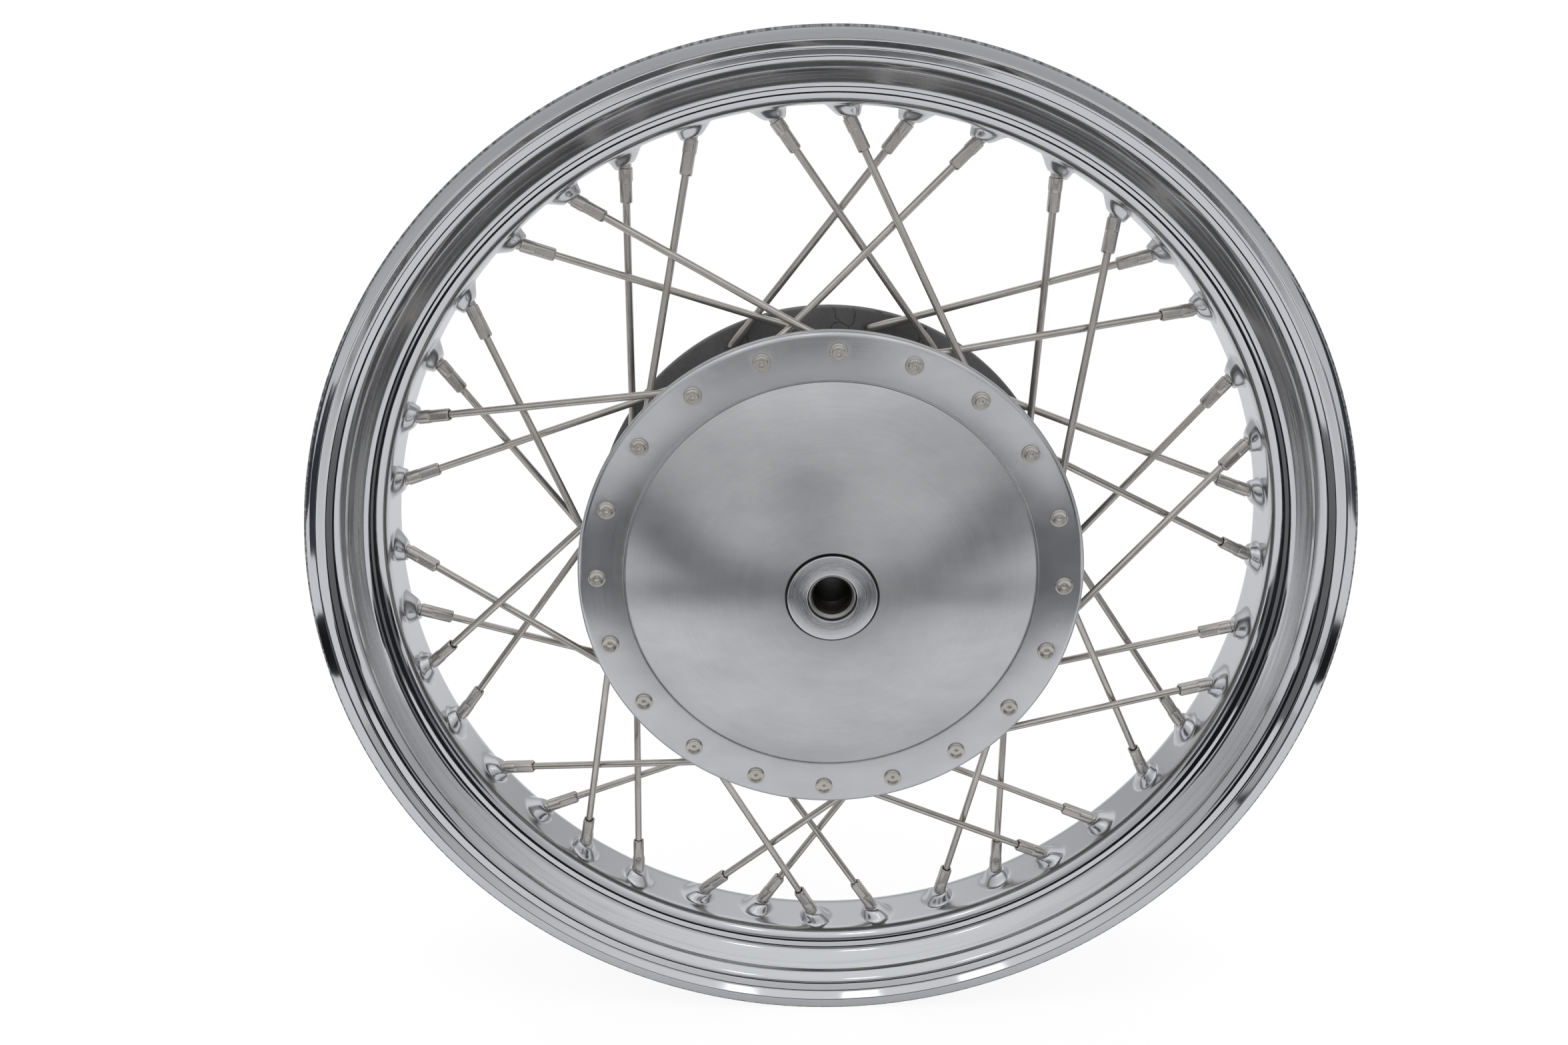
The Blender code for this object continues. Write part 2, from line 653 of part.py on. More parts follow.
clear_scene()
PARTS = new_collection("spoked_wheel")
CUTTERS = new_collection("cutters")
MATERIALS = {
    "chrome": make_material("chrome", (0.82, 0.83, 0.84), 0.08, 1.0),
    "polished_alloy": make_material("polished_alloy", (0.62, 0.64, 0.67), 0.30, 1.0),
    "cast_iron": make_material("cast_iron", (0.14, 0.14, 0.145), 0.65, 0.7),
    "stainless": make_material("stainless", (0.56, 0.54, 0.51), 0.32, 1.0),
    "machined_steel": make_material("machined_steel", (0.70, 0.70, 0.70), 0.22, 1.0),
    "bearing_steel": make_material("bearing_steel", (0.60, 0.60, 0.62), 0.18, 1.0),
    "zinc": make_material("zinc", (0.50, 0.51, 0.52), 0.40, 1.0),
    "rubber": make_material("rubber", (0.02, 0.02, 0.02), 0.70, 0.0),
}

axle_group = empty_at_centre("axle_group")
wheel_group = empty_at_centre("wheel_group")
near_cage_group = empty_at_centre("near_cage_group")
far_cage_group = empty_at_centre("far_cage_group")

build_rim(wheel_group)
build_spokes(wheel_group)
build_hub_shell(wheel_group)
build_brake_drum(wheel_group)
build_screws(wheel_group)
build_bearing("near", NEAR_BEARING, wheel_group, near_cage_group, axle_group)
build_bearing("far", FAR_BEARING, wheel_group, far_cage_group, axle_group)
build_axle_stack(wheel_group, axle_group)
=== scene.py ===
"""Looks for a laced motorcycle wheel: chromed rim, stainless spokes and nipples, polished hub.

The spin axis is +Y, the origin is the middle of the wheel, and the hub's polished side faces -Y.
Lengths are metres. A place on a turned piece is a pair: radius from the axis, distance along +Y.
"""

import json
import math

import bpy
import numpy as np
from mathutils import Matrix, Vector

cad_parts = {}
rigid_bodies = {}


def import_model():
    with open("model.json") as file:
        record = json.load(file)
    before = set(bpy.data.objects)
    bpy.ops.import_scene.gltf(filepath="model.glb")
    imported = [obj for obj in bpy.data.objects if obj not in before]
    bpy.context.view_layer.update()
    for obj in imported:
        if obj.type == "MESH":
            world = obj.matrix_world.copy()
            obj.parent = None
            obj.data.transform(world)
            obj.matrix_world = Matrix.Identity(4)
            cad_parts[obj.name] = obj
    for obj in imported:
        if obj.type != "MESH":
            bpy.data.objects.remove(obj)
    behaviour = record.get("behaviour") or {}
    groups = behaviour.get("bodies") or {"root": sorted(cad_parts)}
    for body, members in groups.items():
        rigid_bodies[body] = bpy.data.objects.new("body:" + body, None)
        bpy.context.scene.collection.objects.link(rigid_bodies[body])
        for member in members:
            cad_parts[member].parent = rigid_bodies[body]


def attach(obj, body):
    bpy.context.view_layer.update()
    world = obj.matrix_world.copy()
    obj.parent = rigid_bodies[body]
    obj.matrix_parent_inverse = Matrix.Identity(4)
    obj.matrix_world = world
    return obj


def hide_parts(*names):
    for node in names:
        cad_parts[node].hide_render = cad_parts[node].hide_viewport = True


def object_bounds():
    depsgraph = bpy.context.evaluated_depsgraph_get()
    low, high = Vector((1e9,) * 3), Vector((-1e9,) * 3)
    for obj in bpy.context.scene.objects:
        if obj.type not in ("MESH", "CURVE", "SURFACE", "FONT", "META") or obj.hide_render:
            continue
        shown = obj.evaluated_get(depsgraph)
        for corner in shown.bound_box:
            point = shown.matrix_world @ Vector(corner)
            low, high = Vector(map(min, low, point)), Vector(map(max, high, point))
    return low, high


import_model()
cad_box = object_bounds()
MM = 0.001

# -----------------------------------------------------------------------------------------------
# Hub shell: one aluminium casting that carries the near spoke flange, the dome and the bearing
# tunnel. Its outside is turned on a lathe and polished, which leaves fine rings round the axis.
# Twenty holes with shallow seats for the spokes' heads are drilled through the flange.

FLANGE_RADIUS = 111.4 * MM
NEAR_FACE = -35.0 * MM
NEAR_BACK = -29.0 * MM
DOME_RADIUS = 90.0 * MM
DOME_RISE = 17.3 * MM
BEARING_RADIUS = 20.0 * MM
BARREL_RADIUS = 98.0 * MM
SKIRT_END = -15.0 * MM
TUNNEL_RADIUS = 27.0 * MM
TUNNEL_END = 18.2 * MM
HEAD_CIRCLE = 102.6 * MM
SPOKES = 40
HOLE_PITCH = 2 * math.pi / SPOKES
LACING = math.radians(36.0)
PATTERN_TURN = math.radians(-1.1)
SPOKE_HOLE_RADIUS = 2.5 * MM
HEAD_SEAT_RADIUS = 4.55 * MM
HEAD_SEAT_DEPTH = 1.3 * MM
HOLE_DEPTH = 8.0 * MM
SKIN = 0.001 * MM
LATHE_STEPS = 240


def rounded(corners, steps=5):
    """Outline with each corner (radius, along, fillet) turned into an arc."""
    points = []
    count = len(corners)
    for i, (radius, along, fillet) in enumerate(corners):
        here = Vector((radius, along))
        if fillet <= 0:
            points.append(tuple(here))
            continue
        back = Vector(corners[i - 1][:2]) - here
        ahead = Vector(corners[(i + 1) % count][:2]) - here
        half = back.angle(ahead) / 2
        reach = min(fillet / math.tan(half), 0.49 * back.length, 0.49 * ahead.length)
        back.normalize()
        ahead.normalize()
        centre = here + (back + ahead).normalized() * (reach / math.cos(half))
        first = here + back * reach - centre
        last = here + ahead * reach - centre
        sweep = math.atan2(first.cross(last), first.dot(last))
        for k in range(steps + 1):
            turn = sweep * k / steps
            x = first.x * math.cos(turn) - first.y * math.sin(turn)
            y = first.x * math.sin(turn) + first.y * math.cos(turn)
            points.append((centre.x + x, centre.y + y))
    return points


def turn_on_lathe(name, outline, steps=LATHE_STEPS):
    """Mesh of a closed outline revolved round the spin axis."""
    area = sum(a[0] * b[1] - b[0] * a[1] for a, b in zip(outline, outline[1:] + outline[:1]))
    if area > 0:
        outline = outline[::-1]
    count = len(outline)
    turns = 2 * np.pi * np.arange(steps) / steps
    radius, along = np.array(outline).T
    places = np.stack(
        [
            np.outer(np.cos(turns), radius),
            np.broadcast_to(along, (steps, count)),
            np.outer(np.sin(turns), radius),
        ],
        axis=-1,
    ).reshape(-1, 3)
    ring, spot = np.meshgrid(np.arange(steps), np.arange(count), indexing="ij")
    after, beside = (ring + 1) % steps, (spot + 1) % count
    faces = np.stack(
        [ring * count + spot, ring * count + beside, after * count + beside, after * count + spot],
        axis=-1,
    ).reshape(-1, 4)
    return mesh_of(name, places, faces)


def mesh_of(name, places, faces, sharp=40):
    """Smooth-shaded mesh whose edges stay sharp above an angle in degrees."""
    mesh = bpy.data.meshes.new(name)
    mesh.from_pydata([tuple(p) for p in np.asarray(places).tolist()], [], [list(f) for f in faces])
    mesh.shade_smooth()
    mesh.set_sharp_from_angle(angle=math.radians(sharp))
    return mesh


def put(name, mesh, material, body, slot, *nodes):
    """A piece that rides on a body, wears the given material and stands for CAD nodes. The slot is
    not used.
    """
    piece = bpy.data.objects.new(name, mesh)
    bpy.context.scene.collection.objects.link(piece)
    if not mesh.materials:
        mesh.materials.append(material)
    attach(piece, body)
    if nodes:
        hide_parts(*nodes)
    return piece


def polar(radius, angle, along):
    """A point at an angle measured from +X towards +Z."""
    return Vector((radius * math.cos(angle), along, radius * math.sin(angle)))


class Finish:
    """A node material with short calls for the few kinds of node that the finishes use."""

    def __init__(self, name, color, metallic, roughness):
        self.material = bpy.data.materials.new(name)
        self.material.use_nodes = True
        self.tree = self.material.node_tree
        self.shader = self.tree.nodes["Principled BSDF"]
        self.shader.inputs["Metallic"].default_value = metallic
        self.shader.inputs["Roughness"].default_value = roughness
        self.shader.inputs["Base Color"].default_value = (*color, 1.0)
        self.place = self.node("ShaderNodeTexCoord").outputs["Object"]

    def node(self, kind, **settings):
        made = self.tree.nodes.new(kind)
        for key, value in settings.items():
            setattr(made, key, value)
        return made

    def link(self, source, target):
        self.tree.links.new(source, target)

    def maths(self, operation, first, second=0.0, third=None):
        made = self.node("ShaderNodeMath", operation=operation)
        for socket, value in zip(made.inputs, (first, second, third)):
            if isinstance(value, (int, float)):
                socket.default_value = value
            elif value is not None:
                self.link(value, socket)
        return made.outputs[0]

    def stretched(self, x, y, z, source=None):
        made = self.node("ShaderNodeMapping")
        made.inputs["Scale"].default_value = (x, y, z)
        self.link(source or self.place, made.inputs["Vector"])
        return made.outputs[0]

    def grain(self, scale, detail=3.0, rough=0.5, source=None):
        made = self.node("ShaderNodeTexNoise")
        made.inputs["Scale"].default_value = scale
        made.inputs["Detail"].default_value = detail
        made.inputs["Roughness"].default_value = rough
        self.link(source or self.place, made.inputs["Vector"])
        return made.outputs["Fac"]

    def between(self, value, low, high, out_low, out_high):
        made = self.node("ShaderNodeMapRange")
        self.link(value, made.inputs["Value"])
        for key, number in zip(
            ("From Min", "From Max", "To Min", "To Max"), (low, high, out_low, out_high)
        ):
            made.inputs[key].default_value = number
        return made.outputs[0]

    def tint(self, value, dark, light, low=0.3, high=0.7):
        """Colour that runs from dark to light as the value rises."""
        ramp = self.node("ShaderNodeValToRGB")
        ramp.color_ramp.elements[0].position = low
        ramp.color_ramp.elements[1].position = high
        ramp.color_ramp.elements[0].color = (*dark, 1.0)
        ramp.color_ramp.elements[1].color = (*light, 1.0)
        self.link(value, ramp.inputs[0])
        self.link(ramp.outputs[0], self.shader.inputs["Base Color"])

    def gloss(self, roughness):
        self.link(roughness, self.shader.inputs["Roughness"])

    def relief(self, height, distance):
        bump = self.node("ShaderNodeBump")
        bump.inputs["Distance"].default_value = distance
        self.link(height, bump.inputs["Height"])
        self.link(bump.outputs[0], self.shader.inputs["Normal"])

    def rings(self):
        """Radius from the spin axis, and turns round it from -0.5 to 0.5."""
        parts = self.node("ShaderNodeSeparateXYZ")
        self.link(self.place, parts.inputs[0])
        x, z = parts.outputs[0], parts.outputs[2]
        radius = self.maths(
            "SQRT", self.maths("ADD", self.maths("MULTIPLY", x, x), self.maths("MULTIPLY", z, z))
        )
        return radius, self.maths("MULTIPLY", self.maths("ARCTAN2", z, x), 0.5 / math.pi)

    def lathe_marks(self, spacing, drift=0.05):
        """Fine turned rings whose strength drifts slowly round the piece."""
        radius, turns = self.rings()
        along = self.node("ShaderNodeSeparateXYZ")
        self.link(self.place, along.inputs[0])
        spot = self.node("ShaderNodeCombineXYZ")
        self.link(self.maths("DIVIDE", radius, spacing), spot.inputs[0])
        self.link(self.maths("DIVIDE", along.outputs[1], spacing), spot.inputs[1])
        self.link(self.maths("MULTIPLY", turns, 1 / drift), spot.inputs[2])
        return self.grain(1.0, 2.0, 0.6, spot.outputs[0])

    def turned_glint(self, amount):
        """Stretches the highlights across the turned rings."""
        tangent = self.node("ShaderNodeTangent", direction_type="RADIAL", axis="Y")
        self.link(tangent.outputs[0], self.shader.inputs["Tangent"])
        self.shader.inputs["Anisotropic"].default_value = amount
        self.shader.inputs["Anisotropic Rotation"].default_value = 0.25


polished = Finish("polished_alloy_look", (0.56, 0.57, 0.58), 1.0, 0.3)
marks = polished.lathe_marks(0.35 * MM, 0.14)
radius, _ = polished.rings()
clouds = polished.grain(22.0, 5.0, 0.6)
wiped = polished.grain(1.0, 4.0, 0.65, polished.stretched(26.0, 9.0, 58.0))
on_flange = polished.between(radius, DOME_RADIUS, DOME_RADIUS + 2 * MM, 0.0, 1.0)
polished.turned_glint(0.78)
satin = polished.maths(
    "ADD",
    polished.between(marks, 0.3, 0.7, 0.31, 0.35),
    polished.between(clouds, 0.35, 0.7, -0.02, 0.04),
)
polished.gloss(polished.maths("SUBTRACT", satin, polished.maths("MULTIPLY", on_flange, 0.10)))
tone = polished.maths("MULTIPLY", marks, 0.2)
for cloudiness in (clouds, wiped):
    tone = polished.maths("ADD", tone, polished.maths("MULTIPLY", cloudiness, 0.4))
polished.tint(tone, (0.53, 0.54, 0.55), (0.68, 0.685, 0.69), 0.36, 0.64)
nicks = polished.grain(1.0, 2.0, 0.5, polished.stretched(900.0, 900.0, 240.0))
nicks = polished.maths("MULTIPLY", polished.between(nicks, 0.66, 0.72, 0.0, 1.0), 4.0)
polished.relief(polished.maths("ADD", marks, nicks), 0.0014 * MM)


def dome_height(radius):
    share = (radius - BEARING_RADIUS) / (DOME_RADIUS - BEARING_RADIUS)
    return NEAR_FACE - DOME_RISE * (1 - share**2)


WALL = 5.5 * MM
PRESS_GAP = 0.02 * MM
BORE = BEARING_RADIUS + PRESS_GAP
SHOULDER = 16.5 * MM
NEAR_BEARING_END = -36.0 * MM
FAR_BEARING_END = 2.0 * MM
SKIRT_WALL = 5.0 * MM
FOOT_RADIUS = 60.0 * MM
FOOT_THICKNESS = 6.0 * MM
GROOVE_DEPTH = 0.9 * MM
hub_corners = [(BORE - 0.3 * MM, dome_height(BEARING_RADIUS) + 0.8 * MM, 0)]
hub_corners.append((BORE + 0.3 * MM, dome_height(BEARING_RADIUS), 0))
for share in np.linspace(0.04, 1.0, 40):
    radius = BORE + (DOME_RADIUS - BORE) * share
    hub_corners.append((radius, dome_height(radius), 0))
hub_corners += [
    (DOME_RADIUS + 0.25 * MM, NEAR_FACE + GROOVE_DEPTH, 0),
    (DOME_RADIUS + 0.75 * MM, NEAR_FACE + GROOVE_DEPTH, 0),
    (DOME_RADIUS + 1.1 * MM, NEAR_FACE, 0.25 * MM),
    (FLANGE_RADIUS, NEAR_FACE, 2.3 * MM),
    (FLANGE_RADIUS, NEAR_BACK, 1.4 * MM),
    (BARREL_RADIUS, NEAR_BACK, 1.5 * MM),
    (BARREL_RADIUS, SKIRT_END, 0.5 * MM),
    (BARREL_RADIUS - SKIRT_WALL, SKIRT_END, 0),
    (BARREL_RADIUS - SKIRT_WALL, NEAR_BACK, 0),
    (86 * MM, NEAR_BACK, 0),
    (58 * MM, dome_height(58 * MM) + WALL, 0),
    (28 * MM, dome_height(28 * MM) + WALL, 0),
    (TUNNEL_RADIUS, SKIRT_END - FOOT_THICKNESS, 0),
    (FOOT_RADIUS, SKIRT_END - FOOT_THICKNESS, 0),
    (FOOT_RADIUS, SKIRT_END, 0),
    (TUNNEL_RADIUS, SKIRT_END, 0),
    (TUNNEL_RADIUS, TUNNEL_END, 0.8 * MM),
    (BORE + 0.4 * MM, TUNNEL_END, 0),
    (BORE, TUNNEL_END - 0.4 * MM, 0),
    (BORE, FAR_BEARING_END, 0),
    (SHOULDER, FAR_BEARING_END, 0),
    (SHOULDER, NEAR_BEARING_END, 0),
    (BORE, NEAR_BEARING_END, 0),
]


def drill(piece, places, radius, side):
    """Cuts round holes inwards from a flange's face, each with a flat seat for the spoke's head."""
    tools = bpy.data.collections.new(piece.name + "_drills")
    steps = 32
    turns = 2 * np.pi * np.arange(steps) / steps
    levels = [(radius, -HOLE_DEPTH), (radius, -HEAD_SEAT_DEPTH)]
    levels += [(HEAD_SEAT_RADIUS, -HEAD_SEAT_DEPTH), (HEAD_SEAT_RADIUS, 1 * MM)]
    faces = [tuple(range(steps)), tuple(range(3 * steps, 4 * steps))[::-1]]
    for level in range(3):
        for k in range(steps):
            a, b = level * steps + k, level * steps + (k + 1) % steps
            faces.append((a, a + steps, b + steps, b))
    if side > 0:
        faces = [f[::-1] for f in faces]
    for place in places:
        verts = [
            (r * math.cos(t) + place.x, place.y + side * high, r * math.sin(t) + place.z)
            for r, high in levels
            for t in turns
        ]
        mesh = bpy.data.meshes.new("drill")
        mesh.from_pydata(verts, [], faces)
        tools.objects.link(bpy.data.objects.new("drill", mesh))
    cut = piece.modifiers.new("holes", "BOOLEAN")
    cut.operation, cut.solver = "DIFFERENCE", "EXACT"
    cut.operand_type, cut.collection = "COLLECTION", tools
    bpy.context.view_layer.update()
    graph = bpy.context.evaluated_depsgraph_get()
    piece.data = bpy.data.meshes.new_from_object(piece.evaluated_get(graph))
    piece.modifiers.clear()
    piece.data.shade_smooth()
    piece.data.set_sharp_from_angle(angle=math.radians(40))
    for tool in list(tools.objects):
        bpy.data.objects.remove(tool, do_unlink=True)
    bpy.data.collections.remove(tools)


def laced():
    """Every spoke as (side, lean, angle of its rim hole): side -1 is near, +1 is far."""
    for number in range(SPOKES):
        side = -1 if number % 2 == 0 else 1
        yield side, 1 if number % 4 < 2 else -1, PATTERN_TURN + number * HOLE_PITCH


def head_places(chosen, along):
    """Middles of the spoke heads on one side of the wheel."""
    return [
        polar(HEAD_CIRCLE, angle + lean * LACING, along)
        for side, lean, angle in laced()
        if side == chosen
    ]


name = "hub_shell_polished"
mesh = turn_on_lathe(name, rounded(hub_corners))
hub = put(name, mesh, polished.material, "wheel", "polished_alloy", "hub_shell")
drill(hub, head_places(-1, NEAR_FACE - SKIN), SPOKE_HOLE_RADIUS, -1)

# Painted shade: the walls of the spoke holes and head seats inside the near flange get a near-black
# colour that stands in for the shade down in them.
seat_shade = Finish("painted_seat_shade_look", (0.05, 0.05, 0.05), 0.2, 0.7)
seat_shade_speckle = seat_shade.grain(700.0, 4.0)
seat_shade.tint(seat_shade_speckle, (0.02, 0.02, 0.02), (0.07, 0.07, 0.07))
seat_shade.gloss(seat_shade.between(seat_shade_speckle, 0.3, 0.7, 0.55, 0.8))
hub.data.materials.append(seat_shade.material)
for face in hub.data.polygons:
    reach = math.hypot(face.center.x, face.center.z)
    in_ring = abs(reach - HEAD_CIRCLE) < HEAD_SEAT_RADIUS + 0.1 * MM
    if in_ring and NEAR_FACE + 0.05 * MM < face.center.y < NEAR_BACK - 0.05 * MM:
        face.material_index = 1

# -----------------------------------------------------------------------------------------------
# Brake drum: grey cast iron, left as it came from the sand on the outside, with the far spoke
# flange cast on it. Its mouth and the brake track inside are machined bright.

FAR_FRONT = 24.2 * MM
FAR_BACK = 30.2 * MM
FAR_RADIUS = 110.4 * MM
DRUM_RADIUS = 89.0 * MM
DRUM_MOUTH = 34.0 * MM
WEB_NEAR = -14.7 * MM
WEB_FAR = -8.0 * MM
WEB_BORE = TUNNEL_RADIUS + 0.5 * MM
DRUM_OUTSIDE = 97.0 * MM

iron = Finish("cast_iron_look", (0.10, 0.10, 0.105), 0.55, 0.62)
sand = iron.grain(420.0, 6.0, 0.65)
blotch = iron.grain(38.0, 5.0, 0.6)
cracks = iron.node("ShaderNodeTexVoronoi", feature="DISTANCE_TO_EDGE")
cracks.inputs["Scale"].default_value = 26.0
warp = iron.node("ShaderNodeTexNoise")
warp.inputs["Scale"].default_value = 60.0
warp.inputs["Detail"].default_value = 5.0
bent = iron.node("ShaderNodeVectorMath", operation="MULTIPLY_ADD")
iron.link(iron.place, warp.inputs["Vector"])
iron.link(warp.outputs["Color"], bent.inputs[0])
bent.inputs[1].default_value = (0.02, 0.02, 0.02)
iron.link(iron.place, bent.inputs[2])
iron.link(bent.outputs[0], cracks.inputs["Vector"])
seam = iron.between(cracks.outputs["Distance"], 0.0, 0.012, 0.0, 1.0)
thin = iron.between(iron.grain(9.0, 2.0), 0.46, 0.5, 1.0, 0.0)
seam = iron.maths("MAXIMUM", seam, thin)
speckle = iron.maths("MULTIPLY", sand, 0.45)
speckle = iron.maths("ADD", speckle, iron.maths("MULTIPLY", blotch, 0.55))
speckle = iron.maths("MULTIPLY", seam, speckle)
iron.tint(speckle, (0.085, 0.085, 0.088), (0.29, 0.288, 0.283), 0.2, 0.75)
iron.gloss(iron.between(sand, 0.3, 0.7, 0.5, 0.75))
iron.relief(iron.maths("ADD", iron.maths("MULTIPLY", sand, 0.6), seam), 0.12 * MM)

drum_outline = rounded(
    [
        (WEB_BORE, WEB_NEAR, 0.4 * MM),
        (DRUM_OUTSIDE, WEB_NEAR, 3 * MM),
        (DRUM_OUTSIDE, FAR_FRONT, 2.5 * MM),
        (FAR_RADIUS, FAR_FRONT, 1.0 * MM),
        (FAR_RADIUS, FAR_BACK, 1.6 * MM),
        (DRUM_OUTSIDE + 0.5 * MM, FAR_BACK, 1.5 * MM),
        (DRUM_OUTSIDE - 0.5 * MM, DRUM_MOUTH, 0.6 * MM),
    ]
)
drum_outline += [
    (DRUM_RADIUS + 1.5 * MM, DRUM_MOUTH),
    (DRUM_RADIUS, DRUM_MOUTH - 1.5 * MM),
    (DRUM_RADIUS, WEB_FAR + 2.5 * MM),
    (DRUM_RADIUS - 0.8 * MM, WEB_FAR + 0.8 * MM),
    (DRUM_RADIUS - 2.5 * MM, WEB_FAR),
    (WEB_BORE, WEB_FAR),
]
name = "brake_drum_iron"
mesh = turn_on_lathe(name, drum_outline)
drum = put(name, mesh, iron.material, "wheel", "cast_iron", "brake_drum")
drill(drum, head_places(1, FAR_BACK + SKIN), SPOKE_HOLE_RADIUS + 0.2 * MM, 1)

track = Finish("brake_track_look", (0.40, 0.39, 0.38), 1.0, 0.38)
track_marks = track.lathe_marks(0.5 * MM)
track.turned_glint(0.6)
track.tint(track_marks, (0.30, 0.29, 0.28), (0.46, 0.45, 0.44))
track.gloss(track.between(track_marks, 0.3, 0.7, 0.30, 0.46))
track.relief(track_marks, 0.01 * MM)
drum.data.materials.append(track.material)
for face in drum.data.polygons:
    reach = math.hypot(face.center.x, face.center.z)
    inside = reach < DRUM_RADIUS + 0.3 * MM and face.center.y > WEB_FAR + 1.5 * MM
    mouth = face.center.y > DRUM_MOUTH - 2.4 * MM and reach < DRUM_OUTSIDE - 0.6 * MM
    face.material_index = 1 if inside or mouth else 0

# -----------------------------------------------------------------------------------------------
# Drum screws: five zinc-plated hexagon screws, cold-headed from steel bar. They go in from inside
# the drum and clamp its web to the hub shell's foot.

SCREW_CIRCLE = 47.0 * MM
SCREW_HEAD = 7.4 * MM
SCREW_HEIGHT = 5.5 * MM
SHANK_RADIUS = 4.0 * MM
SHANK_LENGTH = 12.0 * MM
SCREWS = 5

zinc = Finish("zinc_look", (0.52, 0.53, 0.54), 1.0, 0.38)
spangle = zinc.grain(160.0, 4.0, 0.6)
zinc.tint(spangle, (0.42, 0.43, 0.43), (0.58, 0.59, 0.60))
zinc.gloss(zinc.between(spangle, 0.3, 0.7, 0.30, 0.46))
zinc.relief(zinc.grain(900.0, 3.0), 0.02 * MM)


def hexagon_screw(name):
    """Shank, then a hexagon whose corners are chamfered to a round face."""
    steps = 48
    turns = 2 * np.pi * np.arange(steps) / steps
    flat = SCREW_HEAD * math.cos(math.pi / 6)
    hexagon = flat / np.cos((turns + np.pi / 6) % (np.pi / 3) - np.pi / 6)
    rows = [
        (0.2 * MM, -SHANK_LENGTH),
        (SHANK_RADIUS - 0.4 * MM, -SHANK_LENGTH),
        (SHANK_RADIUS, -SHANK_LENGTH + 0.5 * MM),
        (SHANK_RADIUS, 0.0),
        (hexagon, 0.0),
        (hexagon, SCREW_HEIGHT - 0.9 * MM),
        (np.minimum(hexagon, flat * 1.06), SCREW_HEIGHT - 0.5 * MM),
        (flat * 0.97, SCREW_HEIGHT),
        (0.2 * MM, SCREW_HEIGHT),
    ]
    verts = [
        (r * math.cos(t), high, r * math.sin(t))
        for radii, high in rows
        for r, t in zip(np.broadcast_to(radii, steps), turns)
    ]
    last = (len(rows) - 1) * steps
    faces = [tuple(range(steps)), tuple(range(last, last + steps))[::-1]]
    for level in range(len(rows) - 1):
        for k in range(steps):
            a, b = level * steps + k, level * steps + (k + 1) % steps
            faces.append((a, a + steps, b + steps, b))
    return mesh_of(name, verts, faces, 30)


screw_mesh = hexagon_screw("drum_screw_zinc")
for number in range(SCREWS):
    name = f"drum_screw_zinc_{number + 1}"
    screw = put(name, screw_mesh, zinc.material, "wheel", "zinc", f"drum_screw_{number + 1}")
    angle = math.pi / 2 + 2 * math.pi * number / SCREWS
    screw.location = polar(SCREW_CIRCLE, angle, WEB_FAR + 0.3 * MM)

# -----------------------------------------------------------------------------------------------
# Bearings: two 17 x 40 x 12 ball bearings of ground steel. The outer rings are pressed into the
# hub, the inner rings sit on the axle, and a zinc-plated spacer tube keeps the inner rings apart.

BEARING_BORE = 8.5 * MM
BEARING_WIDTH = 12.0 * MM
NEAR_BEARING = -48.3 * MM
FAR_BEARING = 2.3 * MM
BALL_PITCH = 14.35 * MM
BALL_RADIUS = 3.1 * MM
BALLS = 7
GROOVE_HALF = 2.6 * MM
CAGE_HALF = (0.7 * MM, 1.3 * MM)
# A small margin round the bores, for picking the faces that get the painted shade.
BORE_MARGIN = 0.1 * MM

ground = Finish("bearing_steel_look", (0.60, 0.60, 0.62), 1.0, 0.2)
ground_marks = ground.lathe_marks(0.2 * MM)
ground.turned_glint(0.5)
ground.tint(ground_marks, (0.54, 0.54, 0.56), (0.66, 0.66, 0.68))
ground.gloss(ground.between(ground_marks, 0.3, 0.7, 0.15, 0.28))
for prefix, low in (("near", NEAR_BEARING), ("far", FAR_BEARING)):
    high, middle = low + BEARING_WIDTH, low + BEARING_WIDTH / 2
    for name, outer, wall, groove, body in (
        ("outer", BEARING_RADIUS - PRESS_GAP, 17.0 * MM, 17.7 * MM, "wheel"),
        ("inner", BEARING_BORE, 11.7 * MM, 11.0 * MM, "axle_stack"),
    ):
        race = [(outer, low, 0.6 * MM), (outer, high, 0.6 * MM), (wall, high, 0.3 * MM)]
        race += [(wall, middle + GROOVE_HALF, 0), (groove, middle, 2 * MM)]
        race += [(wall, middle - GROOVE_HALF, 0), (wall, low, 0.3 * MM)]
        mesh = turn_on_lathe(f"{prefix}_{name}_race", rounded(race), 96)
        node = f"{prefix}_bearing_{name}_ring"
        put(f"{prefix}_{name}_race", mesh, ground.material, body, "bearing_steel", node)
    cage = rounded(
        [
            (BALL_PITCH + inwards * CAGE_HALF[0], middle + sideways * CAGE_HALF[1], 0.2 * MM)
            for inwards, sideways in ((-1, -1), (1, -1), (1, 1), (-1, 1))
        ]
    )
    name, body = f"{prefix}_cage_band", f"{prefix}_cage"
    mesh = turn_on_lathe(name, cage, 84)
    put(name, mesh, ground.material, body, "bearing_steel", f"{prefix}_ball_cage")
    half_circle = [
        (BALL_RADIUS * math.sin(a) + 1e-6, BALL_RADIUS * -math.cos(a))
        for a in np.linspace(0, np.pi, 17)
    ]
    for number in range(BALLS):
        name = f"{prefix}_ball_{number + 1}"
        mesh = turn_on_lathe(name, half_circle, 24)
        angle = 2 * math.pi * (number + 0.5) / BALLS
        mesh.transform(Matrix.Translation(polar(BALL_PITCH, angle, middle)))
        put(name, mesh, ground.material, body, "bearing_steel")

